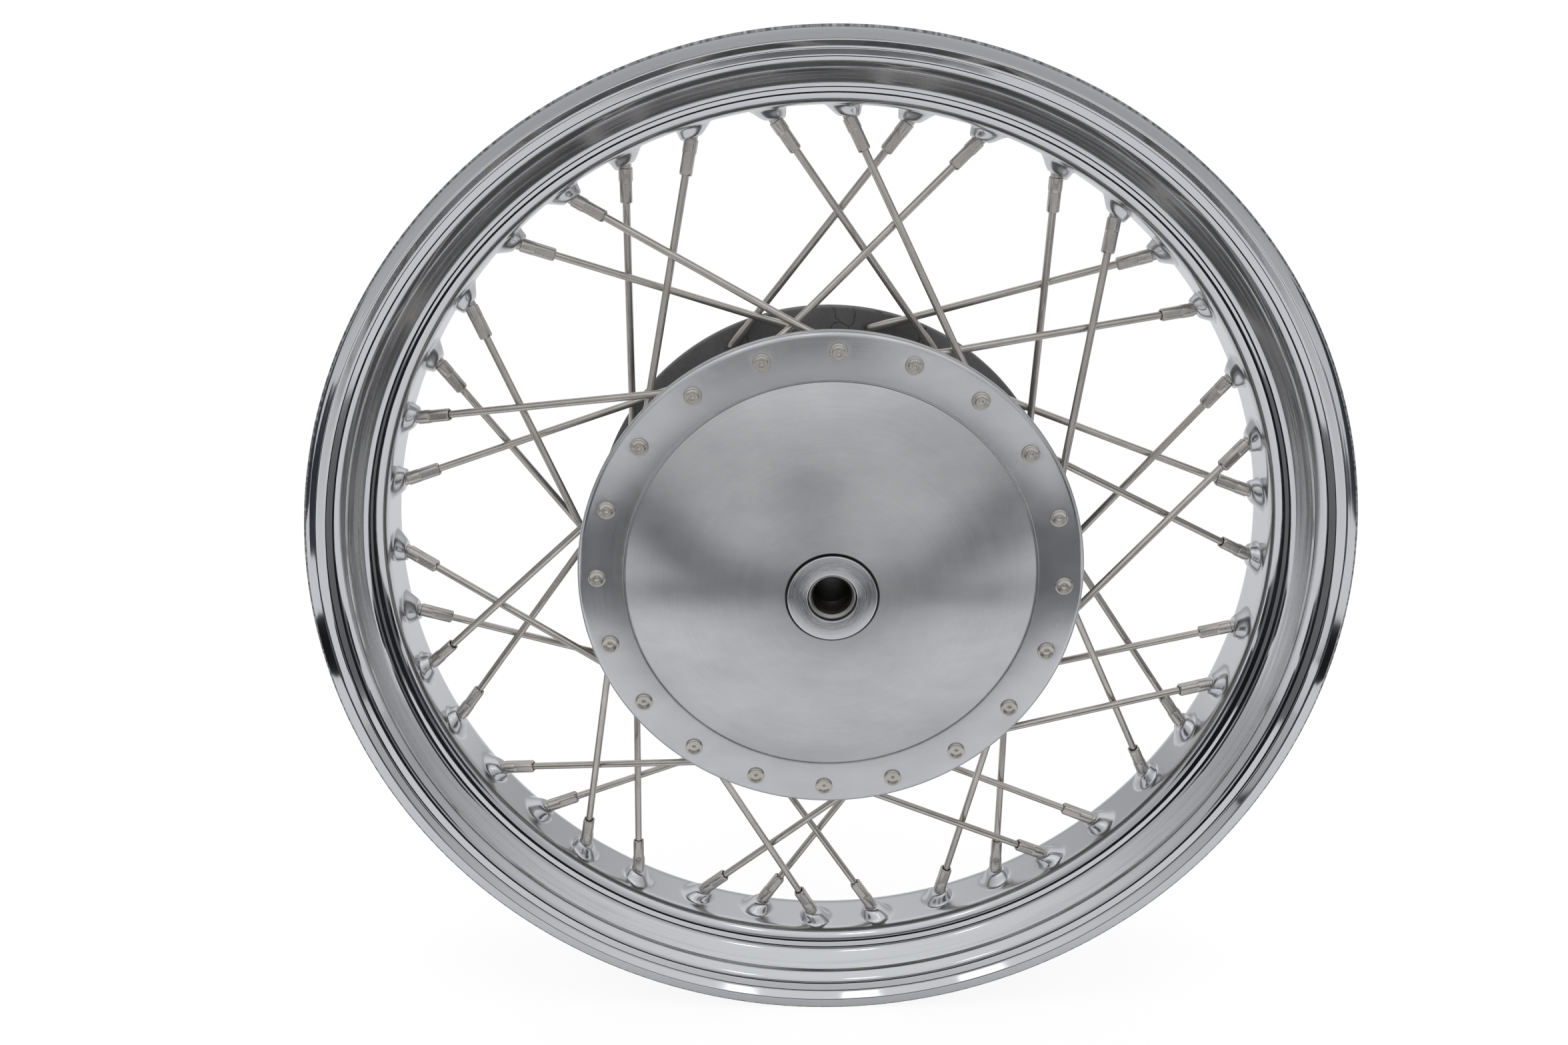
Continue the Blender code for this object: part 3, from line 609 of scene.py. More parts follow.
# Painted shade: the faces of the bores get a near-black colour that stands in for the shade deep
# inside the empty axle hole.
bore_shade = Finish("painted_bore_shade_look", (0.05, 0.042, 0.036), 0.5, 0.45)
bore_shade_speckle = bore_shade.grain(300.0, 4.0)
bore_shade.tint(bore_shade_speckle, (0.030, 0.025, 0.021), (0.075, 0.064, 0.054))
bore_shade.gloss(bore_shade.between(bore_shade_speckle, 0.3, 0.7, 0.35, 0.55))


def shade_the_bore(piece, reach):
    """Gives the faces within a radius of the axis a near-black colour: painted shade deep inside
    the bore.
    """
    piece.data.materials.append(bore_shade.material)
    for face in piece.data.polygons:
        if math.hypot(face.center.x, face.center.z) < reach:
            face.material_index = 1


for prefix in ("near", "far"):
    shade_the_bore(bpy.data.objects[f"{prefix}_inner_race"], BEARING_BORE + 3 * BORE_MARGIN)

SPACER_BORE = 9.0 * MM
SPACER_RADIUS = 12.0 * MM
spacer = rounded(
    [
        (SPACER_BORE, NEAR_BEARING_END, 0.3 * MM),
        (SPACER_RADIUS, NEAR_BEARING_END, 0.3 * MM),
        (SPACER_RADIUS, FAR_BEARING_END, 0.3 * MM),
        (SPACER_BORE, FAR_BEARING_END, 0.3 * MM),
    ]
)
name = "spacer_tube_zinc"
mesh = turn_on_lathe(name, spacer, 96)
piece = put(name, mesh, zinc.material, "axle_stack", "zinc", "bearing_spacer_tube")
shade_the_bore(piece, SPACER_BORE + 4 * BORE_MARGIN)

# -----------------------------------------------------------------------------------------------
# Dust seals and axle collars: black moulded rubber rings, pressed in, close the bearings. A bright
# turned steel collar and its sleeve stand proud of the dome, and a zinc-plated collar bears on the
# brake plate on the far side.

rubber = Finish("seal_rubber_look", (0.02, 0.02, 0.02), 0.0, 0.55)
bloom = rubber.grain(120.0, 4.0)
rubber.tint(bloom, (0.02, 0.02, 0.02), (0.05, 0.049, 0.048))
rubber.gloss(rubber.between(bloom, 0.3, 0.7, 0.45, 0.7))
rubber.relief(rubber.grain(600.0, 3.0), 0.03 * MM)
SEAL_RADIUS = BEARING_RADIUS - 0.05 * MM
SEAL_DISH = 0.5 * MM
for prefix, inner, face, back, side in (
    ("near", 13.6 * MM, -50.9 * MM, -48.6 * MM, -1),
    ("far", 12.6 * MM, 17.6 * MM, 14.6 * MM, 1),
):
    dish = face - side * SEAL_DISH
    ring = rounded(
        [
            (inner, dish, 0.2 * MM),
            (inner + 0.9 * MM, face, 0.3 * MM),
            (inner + 1.8 * MM, dish, 0.2 * MM),
            (SEAL_RADIUS - 1.2 * MM, dish, 0.2 * MM),
            (SEAL_RADIUS - 0.6 * MM, face, 0.3 * MM),
            (SEAL_RADIUS, face, 0.2 * MM),
            (SEAL_RADIUS, back, 0.2 * MM),
            (inner, back, 0.2 * MM),
        ]
    )
    name = f"{prefix}_seal_lip"
    mesh = turn_on_lathe(name, ring, 120)
    put(name, mesh, rubber.material, "wheel", "rubber", f"{prefix}_dust_seal")

bright = Finish("bright_turned_look", (0.70, 0.71, 0.73), 1.0, 0.2)
bright_marks = bright.lathe_marks(0.22 * MM)
bright.turned_glint(0.72)
bright.tint(bright_marks, (0.62, 0.63, 0.65), (0.74, 0.75, 0.77))
bright.gloss(bright.between(bright_marks, 0.3, 0.7, 0.20, 0.28))
bright.relief(bright_marks, 0.003 * MM)
COLLAR_FACE = -53.6 * MM
COLLAR_BACK = -51.9 * MM
COLLAR_RADIUS = 19.2 * MM
COLLAR_NECK = 13.0 * MM
COLLAR_BORE = 10.65 * MM
NECK_END = -48.9 * MM
collar = rounded(
    [
        (COLLAR_BORE, COLLAR_FACE, 0.45 * MM),
        (COLLAR_RADIUS, COLLAR_FACE, 0.4 * MM),
        (COLLAR_RADIUS, COLLAR_BACK, 0.2 * MM),
        (COLLAR_NECK, COLLAR_BACK, 0),
        (COLLAR_NECK, NECK_END, 0.2 * MM),
        (COLLAR_BORE, NECK_END, 0.2 * MM),
    ]
)
name = "near_collar_bright"
mesh = turn_on_lathe(name, collar, 160)
put(name, mesh, bright.material, "axle_stack", "machined_steel", "near_collar")

sleeve_steel = Finish("sleeve_look", (0.42, 0.41, 0.39), 1.0, 0.33)
sleeve_marks = sleeve_steel.lathe_marks(0.3 * MM)
sleeve_steel.tint(sleeve_marks, (0.33, 0.32, 0.30), (0.48, 0.47, 0.45))
sleeve_steel.gloss(sleeve_steel.between(sleeve_marks, 0.3, 0.7, 0.26, 0.42))
SLEEVE_RADIUS = 10.2 * MM
SLEEVE_END = -48.6 * MM
sleeve = rounded(
    [
        (BEARING_BORE, SLEEVE_END, 0),
        (SLEEVE_RADIUS, SLEEVE_END, 0.2 * MM),
        (SLEEVE_RADIUS, COLLAR_BACK, 0.35 * MM),
        (BEARING_BORE + 1.0 * MM, COLLAR_BACK, 0.3 * MM),
        (BEARING_BORE, -50.6 * MM, 0.3 * MM),
    ]
)
name = "axle_sleeve_turned"
mesh = turn_on_lathe(name, sleeve, 120)
piece = put(name, mesh, sleeve_steel.material, "axle_stack", "stainless", "near_axle_sleeve")
shade_the_bore(piece, BEARING_BORE + BORE_MARGIN)

FAR_COLLAR_RADIUS = 12.0 * MM
FAR_COLLAR_START = 14.6 * MM
FAR_COLLAR_FACE = 36.0 * MM
far_collar = rounded(
    [
        (BEARING_BORE, FAR_COLLAR_START, 0.2 * MM),
        (FAR_COLLAR_RADIUS, FAR_COLLAR_START, 0.3 * MM),
        (FAR_COLLAR_RADIUS, FAR_COLLAR_FACE, 1.0 * MM),
        (BEARING_BORE, FAR_COLLAR_FACE, 0.5 * MM),
    ]
)
name = "far_collar_zinc"
mesh = turn_on_lathe(name, far_collar, 120)
piece = put(name, mesh, zinc.material, "axle_stack", "zinc", "far_collar")
shade_the_bore(piece, BEARING_BORE + BORE_MARGIN)

# -----------------------------------------------------------------------------------------------
# Spokes: single-butted stainless wire. The head is cold-formed, the elbow is bent to pass through
# the flange, and the thick butt tapers to the body, whose far end is threaded into the nipple.
# Each kind is laid out for a rim hole at +X and then turned round the axis to its place.

HEAD_RADIUS = 3.95 * MM
HEAD_THICKNESS = 1.7 * MM
HEAD_SUNK = 0.6 * MM
BUTT_RADIUS = 2.03 * MM
BODY_RADIUS = 1.625 * MM
BUTT_END = 8.0 * MM
TAPER_END = 16.0 * MM
ELBOW_RADIUS = 3.2 * MM
ELBOW_CLEARANCE = 3.8 * MM
LACING_STEP = 4.1 * MM
WELL_RADIUS = 199.4 * MM
WIRE_SIDES = 20
HEAD_SHAPE = [  # from the middle of the head outwards: (below the top, radius), in millimetres
    (0.05, 0.02),
    (0.05, 0.45),
    (0.32, 0.85),
    (0.40, 1.2),
    (0.38, 2.3),
    (0.12, 2.75),
    (0.0, 3.15),
    (0.02, 3.45),
    (0.16, 3.75),
    (0.45, 3.95),
]

stainless = Finish("stainless_look", (0.50, 0.48, 0.45), 1.0, 0.34)
uv = stainless.node("ShaderNodeTexCoord").outputs["UV"]
drawn = stainless.grain(1.0, 3.0, 0.6, stainless.stretched(14.0, 60.0, 1.0, uv))
patch = stainless.grain(90.0, 3.0)
tone = stainless.maths("MULTIPLY", drawn, 0.6)
tone = stainless.maths("ADD", tone, stainless.maths("MULTIPLY", patch, 0.4))
stainless.tint(tone, (0.40, 0.378, 0.345), (0.68, 0.65, 0.605))
stainless.gloss(stainless.between(drawn, 0.3, 0.7, 0.22, 0.32))
stainless.relief(drawn, 0.004 * MM)


def elbow_point(side, lean):
    """Where the lines of the spoke and of its leg through the flange would meet."""
    if side < 0:
        along = NEAR_BACK + ELBOW_CLEARANCE + (LACING_STEP if lean > 0 else 0)
    else:
        along = FAR_FRONT - ELBOW_CLEARANCE - (0 if lean > 0 else LACING_STEP)
    return polar(HEAD_CIRCLE, lean * LACING, along)


def rim_point(lean):
    """Where the spoke's line goes through the well's floor."""
    return Vector((WELL_RADIUS, lean * LACING_STEP / 2, 0.0))


def spoke_direction(side, lean):
    return (rim_point(lean) - elbow_point(side, lean)).normalized()


def on_spoke(side, lean, height):
    """The point on the spoke's line at a height above the well, outwards from the axis."""
    direction = spoke_direction(side, lean)
    return rim_point(lean) + direction * (height / direction.x)


def sweep(name, stations):
    """A rod through (place, heading, radii) stations, with length and turn in its UVs.

    Radii are one number, or one for each side of the rod.
    """
    sides = max(np.size(radii) for _, _, radii in stations)
    sides = WIRE_SIDES if sides == 1 else sides
    turns = 2 * np.pi * np.arange(sides) / sides
    heading = stations[0][1].normalized()
    across = heading.cross(Vector((0, 0, 1))).normalized()
    verts, faces, uvs, length = [], [], [], 0.0
    for i, (place, ahead, radii) in enumerate(stations):
        across = heading.rotation_difference(ahead.normalized()) @ across
        heading = ahead.normalized()
        other = heading.cross(across)
        radii = np.broadcast_to(radii, sides)
        verts += [
            place + (across * math.cos(a) + other * math.sin(a)) * r for a, r in zip(turns, radii)
        ]
        if not i:
            continue
        step = length + (place - stations[i - 1][0]).length
        for k in range(sides):
            a, b = (i - 1) * sides + k, (i - 1) * sides + (k + 1) % sides
            faces.append((a, b, b + sides, a + sides))
            low, high = k / sides, (k + 1) / sides
            uvs += [(length, low), (length, high), (step, high), (step, low)]
        length = step
    faces.append(tuple(range(sides))[::-1])
    faces.append(tuple(range(len(verts) - sides, len(verts))))
    uvs += [(0.0, 0.5)] * (2 * sides)
    mesh = mesh_of(name, verts, faces, 38)
    layer = mesh.uv_layers.new(name="length_and_round")
    layer.data.foreach_set("uv", [part for pair in uvs for part in pair])
    return mesh


def kind_name(piece, side, lean):
    return f"{piece}_{'near' if side < 0 else 'far'}_{'in' if lean > 0 else 'out'}"


def spoke_mesh(side, lean):
    elbow, direction = elbow_point(side, lean), spoke_direction(side, lean)
    leg = Vector((0, side, 0))
    face = NEAR_FACE if side < 0 else FAR_BACK
    seat = Vector((elbow.x, face - side * HEAD_SUNK, elbow.z))
    turn = leg.angle(-direction)
    cut = ELBOW_RADIUS * math.tan(turn / 2)
    start = elbow + leg * cut
    centre = elbow + (leg + direction).normalized() * (ELBOW_RADIUS / math.cos(turn / 2))
    top = seat + leg * HEAD_THICKNESS
    head = [(top - leg * sunk * MM, radius * MM) for sunk, radius in HEAD_SHAPE]
    head += [
        (seat + leg * 0.5 * MM, HEAD_RADIUS),
        (seat + leg * 0.1 * MM, 3.7 * MM),
        (seat - leg * 0.6 * MM, 2.4 * MM),
        (seat - leg * 0.9 * MM, BUTT_RADIUS),
    ]
    stations = [(place, -leg, radius) for place, radius in head]
    arm = start - centre
    axis = arm.cross(elbow + direction * cut - centre).normalized()
    bend = arm.angle(elbow + direction * cut - centre)
    for k in range(9):
        turned = Matrix.Rotation(bend * k / 8, 3, axis)
        stations.append((centre + turned @ arm, turned @ -leg, BUTT_RADIUS))
    for share, radius in ((0, BUTT_RADIUS), (0.25, BUTT_RADIUS * 0.97), (0.75, BODY_RADIUS * 1.03)):
        place = elbow + direction * (BUTT_END + (TAPER_END - BUTT_END) * share)
        stations.append((place, direction, radius))
    for place in (
        elbow + direction * TAPER_END,
        elbow + direction * 40 * MM,
        on_spoke(side, lean, -25 * MM),
        on_spoke(side, lean, -6 * MM),
    ):
        stations.append((place, direction, BODY_RADIUS))
    return sweep(kind_name("spoke", side, lean), stations)


KINDS = [(side, lean) for side in (-1, 1) for lean in (1, -1)]
spoke_meshes = {kind: spoke_mesh(*kind) for kind in KINDS}

# -----------------------------------------------------------------------------------------------
# Nipples: turned from stainless bar, with a round length next to the rim and four flats milled for
# the spoke key. The round head seats inside the rim, and the wire screws in from the other end.

NIPPLE_LENGTH = 15.5 * MM
FLATS_LENGTH = 9.5 * MM
FLATS_WIDTH = 5.15 * MM
NIPPLE_RADIUS = 2.95 * MM
FLATS_RUN_OUT = 1.2 * MM
BOSS_HEIGHT = 4.8 * MM
SHEET = 2.2 * MM

nipple_steel = Finish("nipple_look", (0.50, 0.48, 0.45), 1.0, 0.36)
uv = nipple_steel.node("ShaderNodeTexCoord").outputs["UV"]
milled = nipple_steel.grain(1.0, 3.0, 0.6, nipple_steel.stretched(1500.0, 2.0, 1.0, uv))
stain = nipple_steel.grain(160.0, 4.0, 0.6)
tone = nipple_steel.maths("MULTIPLY", milled, 0.4)
tone = nipple_steel.maths("ADD", tone, nipple_steel.maths("MULTIPLY", stain, 0.6))
nipple_steel.tint(tone, (0.44, 0.42, 0.39), (0.57, 0.55, 0.52))
nipple_steel.gloss(nipple_steel.between(milled, 0.3, 0.7, 0.24, 0.34))
nipple_steel.relief(milled, 0.0012 * MM)


def nipple_mesh(side, lean):
    """Key end, flats, round collar, neck through the rim, then the head with its bore."""
    direction = spoke_direction(side, lean)
    tip = on_spoke(side, lean, -BOSS_HEIGHT) - direction * NIPPLE_LENGTH
    sides = 48
    corner = math.acos(FLATS_WIDTH / 2 / NIPPLE_RADIUS)
    turns = 2 * np.pi * np.arange(sides) / sides
    from_flat = np.abs((turns + np.pi / 4) % (np.pi / 2) - np.pi / 4)
    flats = np.where(from_flat < corner, FLATS_WIDTH / 2 / np.cos(from_flat), NIPPLE_RADIUS)
    full = np.full(sides, NIPPLE_RADIUS)
    bore = BODY_RADIUS + 0.35 * MM
    rows = [
        (2.0 * MM, np.full(sides, BODY_RADIUS - 0.1 * MM)),
        (1.6 * MM, bore),
        (0.15 * MM, bore),
        (0.0, bore + 0.15 * MM),
        (0.0, np.minimum(flats, 2.35 * MM)),
        (0.45 * MM, np.minimum(flats, 2.8 * MM)),
        (0.7 * MM, flats),
        (FLATS_LENGTH - FLATS_RUN_OUT, flats),
    ]
    for share in (0.25, 0.5, 0.75, 1.0):
        rise = 1 - math.cos(share * math.pi / 2)
        rows.append((FLATS_LENGTH + (share - 1) * FLATS_RUN_OUT, flats + (full - flats) * rise))
    neck = NIPPLE_LENGTH + SHEET + 0.4 * MM
    rows += [
        (FLATS_LENGTH + 0.15 * MM, full + 0.05 * MM),
        (NIPPLE_LENGTH - 0.75 * MM, full + 0.05 * MM),
        (NIPPLE_LENGTH - 0.45 * MM, full - 0.45 * MM),
        (NIPPLE_LENGTH + 1.8 * MM, full - 0.45 * MM),
        (neck, full),
        (neck + 0.9 * MM, full + 1.3 * MM),
        (neck + 1.8 * MM, full + 1.45 * MM),
        (neck + 2.6 * MM, full + 1.0 * MM),
        (neck + 3.0 * MM, full - 0.2 * MM),
        (neck + 3.0 * MM, full * 0.45),
        (neck + 1.6 * MM, full * 0.4),
        (neck + 1.6 * MM, full * 0.02),
    ]
    stations = [(tip + direction * at, direction, radii) for at, radii in rows]
    return sweep(kind_name("nipple", side, lean), stations)


nipple_meshes = {kind: nipple_mesh(*kind) for kind in KINDS}
counts = {-1: 0, 1: 0}
for side, lean, angle in laced():
    counts[side] += 1
    flange, number = "near" if side < 0 else "far", f"{counts[side]:02d}"
    node = f"{flange}_spoke_{number}"
    for kind, meshes, finish in (
        ("spoke_wire", spoke_meshes, stainless),
        ("nipple", nipple_meshes, nipple_steel),
    ):
        name, mesh = f"{kind}_{flange}_{number}", meshes[side, lean]
        piece = put(name, mesh, finish.material, "wheel", "stainless", node)
        piece.matrix_world = Matrix.Rotation(-angle, 4, "Y")

# -----------------------------------------------------------------------------------------------
# Rim: steel strip rolled to a drop-centre section, welded into a hoop and chromed. A seat is
# pressed into the well for every nipple, leaning the way its spoke runs.

PITCH_COLUMNS = 36
BOSS_COLUMNS = 26
BOSS_REACH = math.radians(2.45)
COARSE = 4
BOSS_FLAT = 3.9 * MM
BOSS_FOOT = 8.6 * MM
BOSS_INSIDE_FLAT = 3.4 * MM
BOSS_INSIDE_FOOT = 7.7 * MM
BOSS_CLEAR = 16.0 * MM
FINE_HALF_WIDTH = 12.6 * MM
FINE_INSIDE_HALF_WIDTH = 10.8 * MM
LIP_ROOT_RADIUS = 222.0 * MM
WELL_STEPS = 26


def roll(start, facing, moves):
    """Section rolled from a start point (radius, width): bends to a new facing and straight runs.

    Facing is the angle of the hub side's normal: 0 faces out along the axis, 90 faces the hub.
    """
    (radius, width), points = start, [(start, facing)]
    for kind, value, bend_radius in moves:
        if kind == "run":
            a = math.radians(facing)
            radius -= value * math.cos(a)
            width -= value * math.sin(a)
            points.append(((radius, width), facing))
            continue
        steps = max(2, math.ceil(abs(value - facing) / 9))
        first = facing
        for k in range(1, steps + 1):
            a = math.radians(first + (value - first) * (k - 0.5) / steps)
            length = bend_radius * math.radians(abs(value - first)) / steps
            radius -= length * math.cos(a)
            width -= length * math.sin(a)
            facing = first + (value - first) * k / steps
            points.append(((radius, width), facing))
    return points


section = roll(
    (230.0 * MM, 31.5 * MM),
    -90.0,
    [
        ("run", 1.5 * MM, 0),
        ("bend", -14.0, 1.3 * MM),
        ("bend", -4.0, 13.0 * MM),
        ("bend", -9.0, 19.0 * MM),
        ("bend", 52.0, 1.2 * MM),
        ("run", 2.8 * MM, 0),
        ("bend", 9.0, 2.2 * MM),
        ("run", 2.0 * MM, 0),
        ("bend", 54.0, 4.2 * MM),
        ("run", 3.0 * MM, 0),
        ("bend", 78.0, 2.4 * MM),
        ("run", 1.1 * MM, 0),
        ("bend", 54.0, 0.3 * MM),
        ("run", 8.2 * MM, 0),
        ("bend", 9.0, 4.5 * MM),
        ("run", 0.653 * MM, 0),
        ("bend", 90.0, 7.0 * MM),
    ],
)
(well_radius, well_width), _ = section[-1]
well = [(well_radius, well_width * (2 * k / WELL_STEPS - 1)) for k in range(1, WELL_STEPS)]
hub_side = [(r, -w) for (r, w), _ in section] + well + [(r, w) for (r, w), _ in section[::-1]]
tyre_half = [  # the tyre's side of the lip, from its edge inwards
    (229.9 * MM, 31.2 * MM),
    (229.2 * MM, 30.7 * MM),
    (227.6 * MM, 30.2 * MM),
    (225.8 * MM, 29.0 * MM),
    (224.4 * MM, 27.6 * MM),
    (222.6 * MM, 26.9 * MM),
]
for (r, w), facing in section:
    if r < LIP_ROOT_RADIUS:
        a = math.radians(facing)
        tyre_half.append((r + SHEET * math.sin(a), w - SHEET * math.cos(a)))
tyre_well = [(r + SHEET, w) for r, w in well]
tyre_side = [(r, -w) for r, w in tyre_half] + tyre_well + [(r, w) for r, w in tyre_half[::-1]]


def column_angles():
    """Angles of the fine columns: close together over each seat, wider between."""
    over_seat = np.linspace(-BOSS_REACH, BOSS_REACH, BOSS_COLUMNS + 1)
    between = np.linspace(BOSS_REACH, HOLE_PITCH - BOSS_REACH, PITCH_COLUMNS - BOSS_COLUMNS + 1)
    pitch = PATTERN_TURN + np.concatenate([over_seat[:-1], between[:-1]])
    return np.concatenate([number * HOLE_PITCH + pitch for number in range(SPOKES)])


def press_seats(places, foot, flat, height):
    """Pushes the well in towards the hub round every nipple, along the nipple's own line."""
    for side, lean, angle in laced():
        turn = np.array(Matrix.Rotation(-angle, 3, "Y"))
        direction = turn @ np.array(spoke_direction(side, lean))
        base = turn @ np.array(rim_point(lean))
        out = turn @ np.array((1.0, 0.0, 0.0))
        close = np.linalg.norm(places - base, axis=1) < BOSS_CLEAR
        spots = places[close]
        offset = spots - base
        rise = offset @ out
        offset = offset - direction * (rise / direction.dot(out))[:, None]
        away = np.linalg.norm(offset, axis=1)
        share = np.clip((foot - away) / (foot - flat), 0.0, 1.0)
        lift = share * share * (3 - 2 * share)
        move = (lift * height / direction.dot(out))[:, None]
        places[close] = spots - direction * move
    return places


def hoop_surface(profile, half_width, angles, first_vertex):
    """Grid of a section round the rim: fine columns over the well, one in COARSE elsewhere."""
    coarse = angles[::COARSE]
    fine = [i for i, (_, along) in enumerate(profile) if abs(along) < half_width]
    places, rows, faces = [], [], []
    for i, (radius, along) in enumerate(profile):
        used = angles if fine[0] <= i <= fine[-1] else coarse
        rows.append((first_vertex + len(places), len(used)))
        places += [(radius * math.cos(a), along, radius * math.sin(a)) for a in used]
    for (a0, a_count), (b0, b_count) in zip(rows, rows[1:]):
        for k in range(min(a_count, b_count)):
            n = (k + 1) % min(a_count, b_count)
            spots = [k * COARSE + j for j in range(COARSE + 1)]
            if a_count == b_count:
                faces.append((a0 + k, b0 + k, b0 + n, a0 + n))
            elif a_count < b_count:
                faces.append((a0 + k, *[b0 + spot % b_count for spot in spots], a0 + n))
            else:
                faces.append((*[a0 + spot % a_count for spot in spots[::-1]], b0 + k, b0 + n))
    return places, rows, faces


def rim_mesh():
    """Hub side and tyre side of the hoop, joined along both lips."""
    angles = column_angles()
    places, hub_rows, faces = hoop_surface(hub_side, FINE_HALF_WIDTH, angles, 0)
    hub_places = press_seats(np.array(places), BOSS_FOOT, BOSS_FLAT, BOSS_HEIGHT)
    places, tyre_rows, tyre_faces = hoop_surface(
        tyre_side, FINE_INSIDE_HALF_WIDTH, angles, len(hub_places)
    )
    tyre_places = press_seats(np.array(places), BOSS_INSIDE_FOOT, BOSS_INSIDE_FLAT, BOSS_HEIGHT)
    faces += [f[::-1] for f in tyre_faces]
    columns = len(angles) // COARSE
    for end in (0, -1):
        a0, b0 = hub_rows[end][0], tyre_rows[end][0]
        for k in range(columns):
            n = (k + 1) % columns
            quad = (a0 + k, a0 + n, b0 + n, b0 + k)
            faces.append(quad[::-1] if end else quad)
    return mesh_of("rim_chrome", np.concatenate([hub_places, tyre_places]), faces, 50)


CHROME = (0.61, 0.62, 0.635)
chrome = Finish("chrome_look", CHROME, 1.0, 0.05)
ripple = chrome.grain(34.0, 2.0, 0.4)
smear = chrome.grain(14.0, 4.0, 0.6)
radius, turns = chrome.rings()
edge = chrome.between(radius, 228.7 * MM, 229.1 * MM, 0.0, 1.0)
ticks = chrome.node("ShaderNodeCombineXYZ")
chrome.link(chrome.maths("MULTIPLY", turns, 620.0), ticks.inputs[0])
knurl = chrome.grain(1.0, 1.0, 0.5, ticks.outputs[0])
# Painted shade: the lip's outermost edge is painted near black in short dashes along the knurl,
# standing in for the shade and dark reflections along that edge.
painted_edge_shade = chrome.maths("MULTIPLY", edge, chrome.between(knurl, 0.35, 0.6, 0.4, 1.0))
chrome.tint(painted_edge_shade, CHROME, (0.13, 0.13, 0.135), 0.0, 1.0)
bead_seat = chrome.maths(
    "MULTIPLY",
    chrome.between(radius, 208.6 * MM, 209.6 * MM, 0.0, 1.0),
    chrome.between(radius, 214.4 * MM, 215.4 * MM, 1.0, 0.0),
)
streaky = chrome.node("ShaderNodeCombineXYZ")
chrome.link(chrome.maths("DIVIDE", radius, 0.9 * MM), streaky.inputs[0])
chrome.link(chrome.maths("MULTIPLY", turns, 16.0), streaky.inputs[1])
streaks = chrome.grain(1.0, 3.0, 0.6, streaky.outputs[0])
roughness = chrome.between(smear, 0.4, 0.75, 0.05, 0.10)
for frosting in (
    chrome.maths("MULTIPLY", edge, 0.3),
    chrome.maths("MULTIPLY", bead_seat, chrome.between(streaks, 0.38, 0.62, 0.06, 0.24)),
    chrome.between(radius, 199.8 * MM, 201.5 * MM, 0.13, 0.0),
):
    roughness = chrome.maths("ADD", roughness, frosting)
chrome.gloss(roughness)
ridges = chrome.maths("MULTIPLY", chrome.maths("MULTIPLY", edge, knurl), 1.2)
chrome.relief(chrome.maths("ADD", ripple, ridges), 0.10 * MM)
put("rim_chrome", rim_mesh(), chrome.material, "wheel", "chrome", "rim")

# -----------------------------------------------------------------------------------------------
# Studio: the wheel stands on a pale floor under soft light, seen from a little above. Dark and grey
# cards in front of it, seen only in reflections, give the chrome and the turned hub their bands.

FLOOR = cad_box[0].z - 0.05 * MM


def card(name, corners, shade, faces=None):
    """A flat sheet of matt paper; faces are given when it is bent."""
    mesh = bpy.data.meshes.new(name)
    mesh.from_pydata(corners, [], faces or [tuple(range(len(corners)))])
    made = bpy.data.objects.new(name, mesh)
    bpy.context.scene.collection.objects.link(made)
    paper = bpy.data.materials.new(name + "_paper")
    paper.use_nodes = True
    shader = paper.node_tree.nodes["Principled BSDF"]
    shader.inputs["Base Color"].default_value = (*shade, 1.0)
    shader.inputs["Roughness"].default_value = 0.9
    shader.inputs["Specular IOR Level"].default_value = 0.1
    mesh.materials.append(paper)
    return made


def reflected_only(made):
    made.visible_camera = False
    made.visible_diffuse = False
    made.visible_shadow = False


FLOOR_HALF = 4.0
FLOOR_GLOW = 1.05
FLOOR_GLOW_SHARE = 0.86
floor = card(
    "floor",
    [(x * FLOOR_HALF, y * FLOOR_HALF, FLOOR) for x, y in ((-1, -1), (1, -1), (1, 1), (-1, 1))],
    (0.86, 0.86, 0.87),
)
floor_tree = floor.data.materials[0].node_tree
glow = floor_tree.nodes.new("ShaderNodeEmission")
glow.inputs["Strength"].default_value = FLOOR_GLOW
ray_kind = floor_tree.nodes.new("ShaderNodeLightPath")
glow_share = floor_tree.nodes.new("ShaderNodeMath")
glow_share.operation = "MULTIPLY"
glow_share.inputs[1].default_value = FLOOR_GLOW_SHARE
blend = floor_tree.nodes.new("ShaderNodeMixShader")
floor_tree.links.new(ray_kind.outputs["Is Camera Ray"], glow_share.inputs[0])
floor_tree.links.new(glow_share.outputs[0], blend.inputs[0])
floor_tree.links.new(floor_tree.nodes["Principled BSDF"].outputs[0], blend.inputs[1])
floor_tree.links.new(glow.outputs[0], blend.inputs[2])
floor_tree.links.new(blend.outputs[0], floor_tree.nodes["Material Output"].inputs["Surface"])

CLOTH_REACH = 0.55
CLOTH_SHIFT = 0.03
CLOTH_MIDDLE, CLOTH_BREAK, CLOTH_END = 15, 35, 60
CLOTH_TOP = -0.105
CLOTH_TOP_AT_SIDE = -0.165
BLACK_CLOTH = (0.012, 0.012, 0.014)
GREY_CLOTH = (0.22, 0.22, 0.23)
DARK_CARD = (0.05, 0.055, 0.065)
GREY_CARD = (0.22, 0.22, 0.225)


def curved_cloth(name, first, last, shade):
    """Cloth hung on a curve in front of the wheel, from one azimuth to another in degrees."""
    low, high = [], []
    for degrees in range(first, last + 1, 5):
        a = math.radians(degrees)
        x, y = CLOTH_REACH * math.sin(a), CLOTH_SHIFT - CLOTH_REACH * math.cos(a)
        low.append((x, y, FLOOR))
        high.append((x, y, CLOTH_TOP if abs(degrees) <= CLOTH_BREAK else CLOTH_TOP_AT_SIDE))
    count = len(low)
    faces = [(k, k + 1, k + 1 + count, k + count) for k in range(count - 1)]
    reflected_only(card(name, low + high, shade, faces))


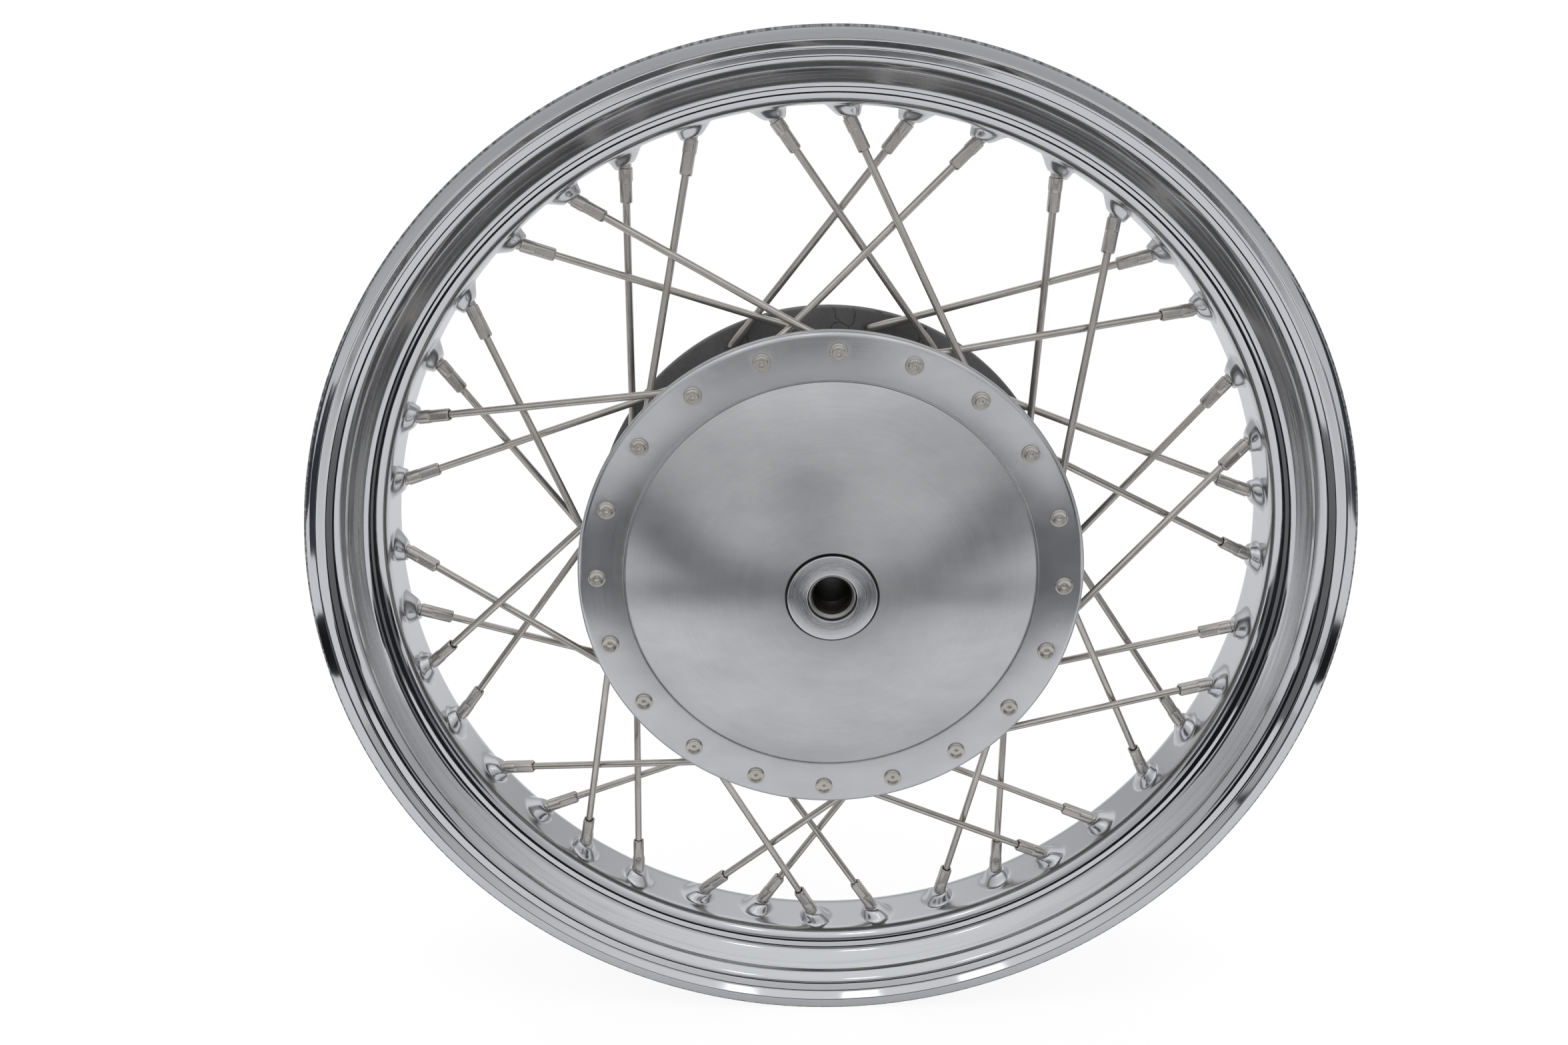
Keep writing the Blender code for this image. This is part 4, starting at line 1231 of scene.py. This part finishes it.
curved_cloth("dark_cloth_middle", -CLOTH_MIDDLE, CLOTH_MIDDLE, BLACK_CLOTH)
for name, side in (("left", -1), ("right", 1)):
    inner, middle, outer = CLOTH_MIDDLE * side, CLOTH_BREAK * side, CLOTH_END * side
    curved_cloth(f"grey_cloth_{name}", *sorted((inner, middle)), GREY_CLOTH)
    curved_cloth(f"dark_cloth_{name}", *sorted((middle, outer)), BLACK_CLOTH)
    coat = ((0.27, -0.15), (0.49, -0.15), (0.49, -0.06), (0.43, 0.02), (0.27, -0.02))
    reflected_only(card(f"coat_{name}", [(side * x, -0.42, z) for x, z in coat], DARK_CARD))
    ends = ((0.76, -0.79, FLOOR), (0.97, -0.52, FLOOR), (0.97, -0.52, 0.17), (0.76, -0.79, 0.17))
    reflected_only(card(f"{name}_screen", [(side * x, y, z) for x, y, z in ends], DARK_CARD))
stand = ((-0.15, -0.04), (0.09, -0.04), (0.05, 0.13), (-0.11, 0.13))
reflected_only(card("grey_stand", [(x, -0.62, z) for x, z in stand], GREY_CARD))

world = bpy.data.worlds.new("studio_air")
bpy.context.scene.world = world
world.use_nodes = True
air = world.node_tree
air.nodes.clear()
white = air.nodes.new("ShaderNodeBackground")
white.inputs["Color"].default_value = (1.0, 1.0, 1.0, 1.0)
room = air.nodes.new("ShaderNodeBackground")
blend = air.nodes.new("ShaderNodeMixShader")
ray_kind = air.nodes.new("ShaderNodeLightPath")
surface = air.nodes.new("ShaderNodeOutputWorld")
direction = air.nodes.new("ShaderNodeTexCoord")
parts = air.nodes.new("ShaderNodeSeparateXYZ")
height = air.nodes.new("ShaderNodeMath")
height.operation = "MULTIPLY_ADD"
height.inputs[1].default_value = 0.5
height.inputs[2].default_value = 0.5
shades = air.nodes.new("ShaderNodeValToRGB")
stops = shades.color_ramp.elements
stops[0].position, stops[0].color = 0.0, (0.6, 0.6, 0.61, 1.0)
stops[1].position, stops[1].color = 1.0, (0.95, 0.96, 0.98, 1.0)
for position, shade in ((0.45, 0.62), (0.56, 0.50), (0.68, 0.58), (0.85, 0.85)):
    stops.new(position).color = (shade, shade, shade * 1.02, 1.0)
for source, target in (
    (direction.outputs["Generated"], parts.inputs[0]),
    (parts.outputs[2], height.inputs[0]),
    (height.outputs[0], shades.inputs[0]),
    (shades.outputs[0], room.inputs["Color"]),
    (ray_kind.outputs["Is Camera Ray"], blend.inputs[0]),
    (room.outputs[0], blend.inputs[1]),
    (white.outputs[0], blend.inputs[2]),
    (blend.outputs[0], surface.inputs["Surface"]),
):
    air.links.new(source, target)


def soft_light(name, place, size, power):
    """A square lamp aimed at the middle of the wheel."""
    lamp = bpy.data.lights.new(name, "AREA")
    lamp.shape = "SQUARE"
    lamp.size = size
    lamp.energy = power
    made = bpy.data.objects.new(name, lamp)
    made.location = place
    made.rotation_euler = (-Vector(place)).to_track_quat("-Z", "Y").to_euler()
    bpy.context.scene.collection.objects.link(made)
    return made


soft_light("overhead", (0.0, -0.3, 1.9), 1.6, 12.0).visible_glossy = False
for name, x in (("left", -0.62), ("middle", -0.10), ("right", 0.42)):
    soft_light(f"bulb_{name}", (x, -0.95, 1.25), 0.15, 0.12)

CAMERA_PLACE = (-0.0223, -0.5789, 0.2259)
CAMERA_AIM = Vector((0.003, 0.9396, -0.3421))
camera_data = bpy.data.cameras.new("camera")
camera_data.lens = 30.77
camera_data.sensor_width = 36.0
camera_data.clip_end = 50.0
camera = bpy.data.objects.new("camera", camera_data)
camera.location = CAMERA_PLACE
camera.rotation_euler = CAMERA_AIM.to_track_quat("-Z", "Y").to_euler()
bpy.context.scene.collection.objects.link(camera)
bpy.context.scene.camera = camera
bpy.context.scene.view_settings.view_transform = "Standard"
